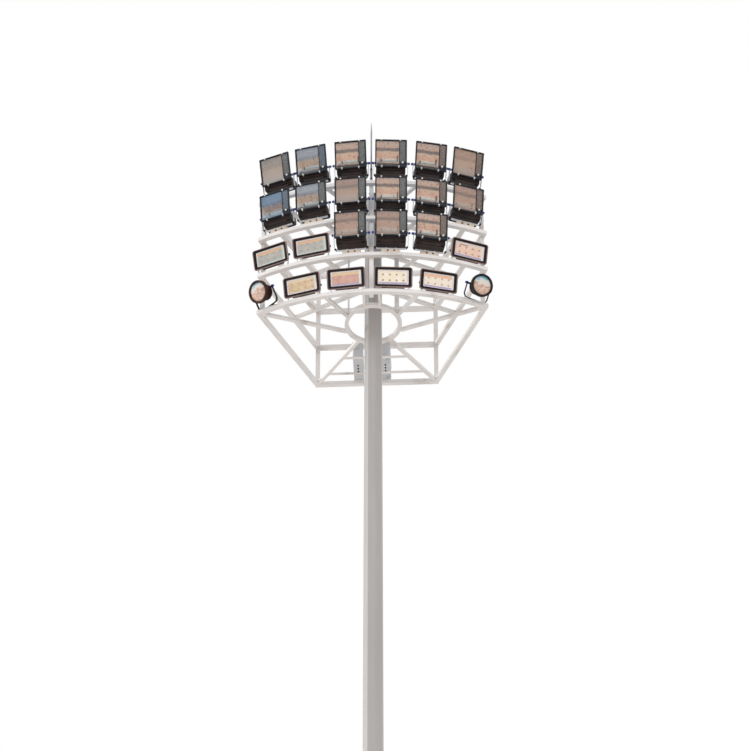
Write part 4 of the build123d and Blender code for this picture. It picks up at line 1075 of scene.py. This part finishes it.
# The lens's colour bands up its face are painted reflections, with the sky's blue at the top.
lens_finish, lens_tree, lens_shader, lens_place = new_finish("spot_lens")
lens_reflection_level = face_value(lens_tree, "Y", noise(lens_tree, lens_place, 13.0, 4.0), 0.5)
coat(lens_tree, lens_shader, tones(lens_tree, lens_reflection_level, [
    (0.48, (236, 214, 198)), (0.58, (208, 170, 150)), (0.66, (234, 204, 184)), (0.74, (190, 150, 132)),
    (0.82, (240, 222, 208)), (0.93, (206, 220, 222)), (1.0, (120, 176, 196))]), 0.12)
rim_turns = [(0.120, 0.124), (0.152, 0.127), (0.155, 0.144), (0.160, 0.150), (0.184, 0.149), (0.188, 0.145),
             (0.188, 0.094), (0.184, 0.090), (0.156, 0.072), (0.150, 0.068), (0.148, 0.046)]
rim_radii, rim_outs = np.array(rim_turns).T
fin_outs = 0.040 - 0.034 * np.repeat(np.arange(4), 4) - np.tile([0.0, 0.004, 0.012, 0.016], 4)
fin_radii = np.tile([-0.016, 0.0, 0.0, -0.016], 4) + 0.148 - 0.020 * np.repeat(np.arange(4), 4) / 3
barrel_radii = np.concatenate([rim_radii, fin_radii, [0.110, 0.108, 0.100]])
barrel_outs = np.concatenate([rim_outs, fin_outs, [-0.086, -0.094, -0.0995]])
boss = turned([0.026, 0.018, 0.018], [0.0, 0.02, 0.0725], 16)
barrel_forms = [turned(barrel_radii, barrel_outs, 48),
                *(sideways(boss, (side * 0.128, 0.0, 0.0), side) for side in (-1, 1))]
lens = turned([0.1520, 0.1530, 0.151, 0.130, 0.095, 0.050, 0.010],
              [0.128, 0.130, 0.132, 0.138, 0.1445, 0.148, 0.1485], 48)
for joint in spotlights:
    body = joint["child"]
    axes = lamp_axes(joint, SPOT_TILT)
    finish = rust_finish if joint["pos_m"][0] < 0 else barrel_finish
    piece(f"{body}_barrel", carried(barrel_forms, axes), finish, body, (body,))
    glass = piece(f"{body}_lens", carried([lens], axes), lens_finish, body)
    face_map(glass, axes, LENS_MAP, LENS_MAP, 0.0)


# Floor: a pale round of concrete under the tower, not part of it.
floor_radius = 8.2
floor_mesh = bpy.data.meshes.new("floor")
floor_points = np.column_stack([circle(floor_radius, 96), np.zeros(96)])
floor_mesh.from_pydata(floor_points.tolist(), [], [list(range(96))])
floor_mesh.materials.append(cloudy("pale_floor", (226, 226, 226), (236, 236, 236), 1.2, 0.9))
floor = bpy.data.objects.new("floor", floor_mesh)
bpy.context.scene.collection.objects.link(floor)


# Light: a pale sky over warmer ground, white where the camera or a gloss sees it, and two broad suns.
world = bpy.data.worlds.new("pale_sky")
bpy.context.scene.world = world
world.use_nodes = True
sky_tree = world.node_tree
sky = sky_tree.nodes["Background"]
sky_place = sky_tree.nodes.new("ShaderNodeTexCoord")
sky_height = sky_tree.nodes.new("ShaderNodeSeparateXYZ")
sky_tree.links.new(sky_place.outputs["Generated"], sky_height.inputs["Vector"])
sky_turn = sky_tree.nodes.new("ShaderNodeMapRange")
sky_turn.inputs["From Min"].default_value = -0.4
sky_turn.inputs["From Max"].default_value = 0.4
sky_tree.links.new(sky_height.outputs["Z"], sky_turn.inputs["Value"])
ground_light, sky_light = (0.70, 0.665, 0.64, 1.0), (1.08, 1.09, 1.11, 1.0)
sky_tree.links.new(ramp(sky_tree, sky_turn.outputs["Result"], [(0.0, ground_light), (1.0, sky_light)]),
                   sky.inputs["Color"])
sky.inputs["Strength"].default_value = 1.0
bright = sky_tree.nodes.new("ShaderNodeBackground")
bright.inputs["Color"].default_value = (1.0, 1.0, 1.0, 1.0)
bright.inputs["Strength"].default_value = 1.0
ray = sky_tree.nodes.new("ShaderNodeLightPath").outputs
seen = combined(sky_tree, "MAXIMUM", ray["Is Camera Ray"], ray["Is Transmission Ray"])
seen = combined(sky_tree, "MAXIMUM", seen, ray["Is Glossy Ray"])
choose = sky_tree.nodes.new("ShaderNodeMixShader")
sky_tree.links.new(seen, choose.inputs["Fac"])
sky_tree.links.new(sky.outputs["Background"], choose.inputs[1])
sky_tree.links.new(bright.outputs["Background"], choose.inputs[2])
sky_tree.links.new(choose.outputs["Shader"], sky_tree.nodes["World Output"].inputs["Surface"])

for name, strength, towards, softness in (("left_sun", 1.3, (0.90, -0.18, -0.40), 0.35),
                                          ("front_sun", 0.35, (0.20, 0.90, -0.40), 0.8)):
    lamp = bpy.data.lights.new(name, "SUN")
    lamp.energy = strength
    lamp.angle = softness
    sun = bpy.data.objects.new(name, lamp)
    sun.rotation_mode = "QUATERNION"
    sun.rotation_quaternion = Vector(towards).to_track_quat("-Z", "Y")
    bpy.context.scene.collection.objects.link(sun)

# Camera: far away and low before the tower, looking up at the head as the photograph does.
azimuth, elevation, distance, field = np.radians(2.5), np.radians(-42.9), 75.0, 11.97
target = np.array([0.028, 0.0, 16.101])
back = np.array([np.sin(azimuth) * np.cos(elevation), -np.cos(azimuth) * np.cos(elevation),
                 np.sin(elevation)])
camera_data = bpy.data.cameras.new("camera")
camera_data.sensor_width = 36.0
camera_data.lens = camera_data.sensor_width * distance / field
camera_data.clip_end = 500.0
camera = bpy.data.objects.new("camera", camera_data)
camera.location = target + back * distance
camera.rotation_mode = "QUATERNION"
camera.rotation_quaternion = Vector(-back).to_track_quat("-Z", "Y")
bpy.context.scene.collection.objects.link(camera)
bpy.context.scene.camera = camera
bpy.context.scene.view_settings.view_transform = "Standard"
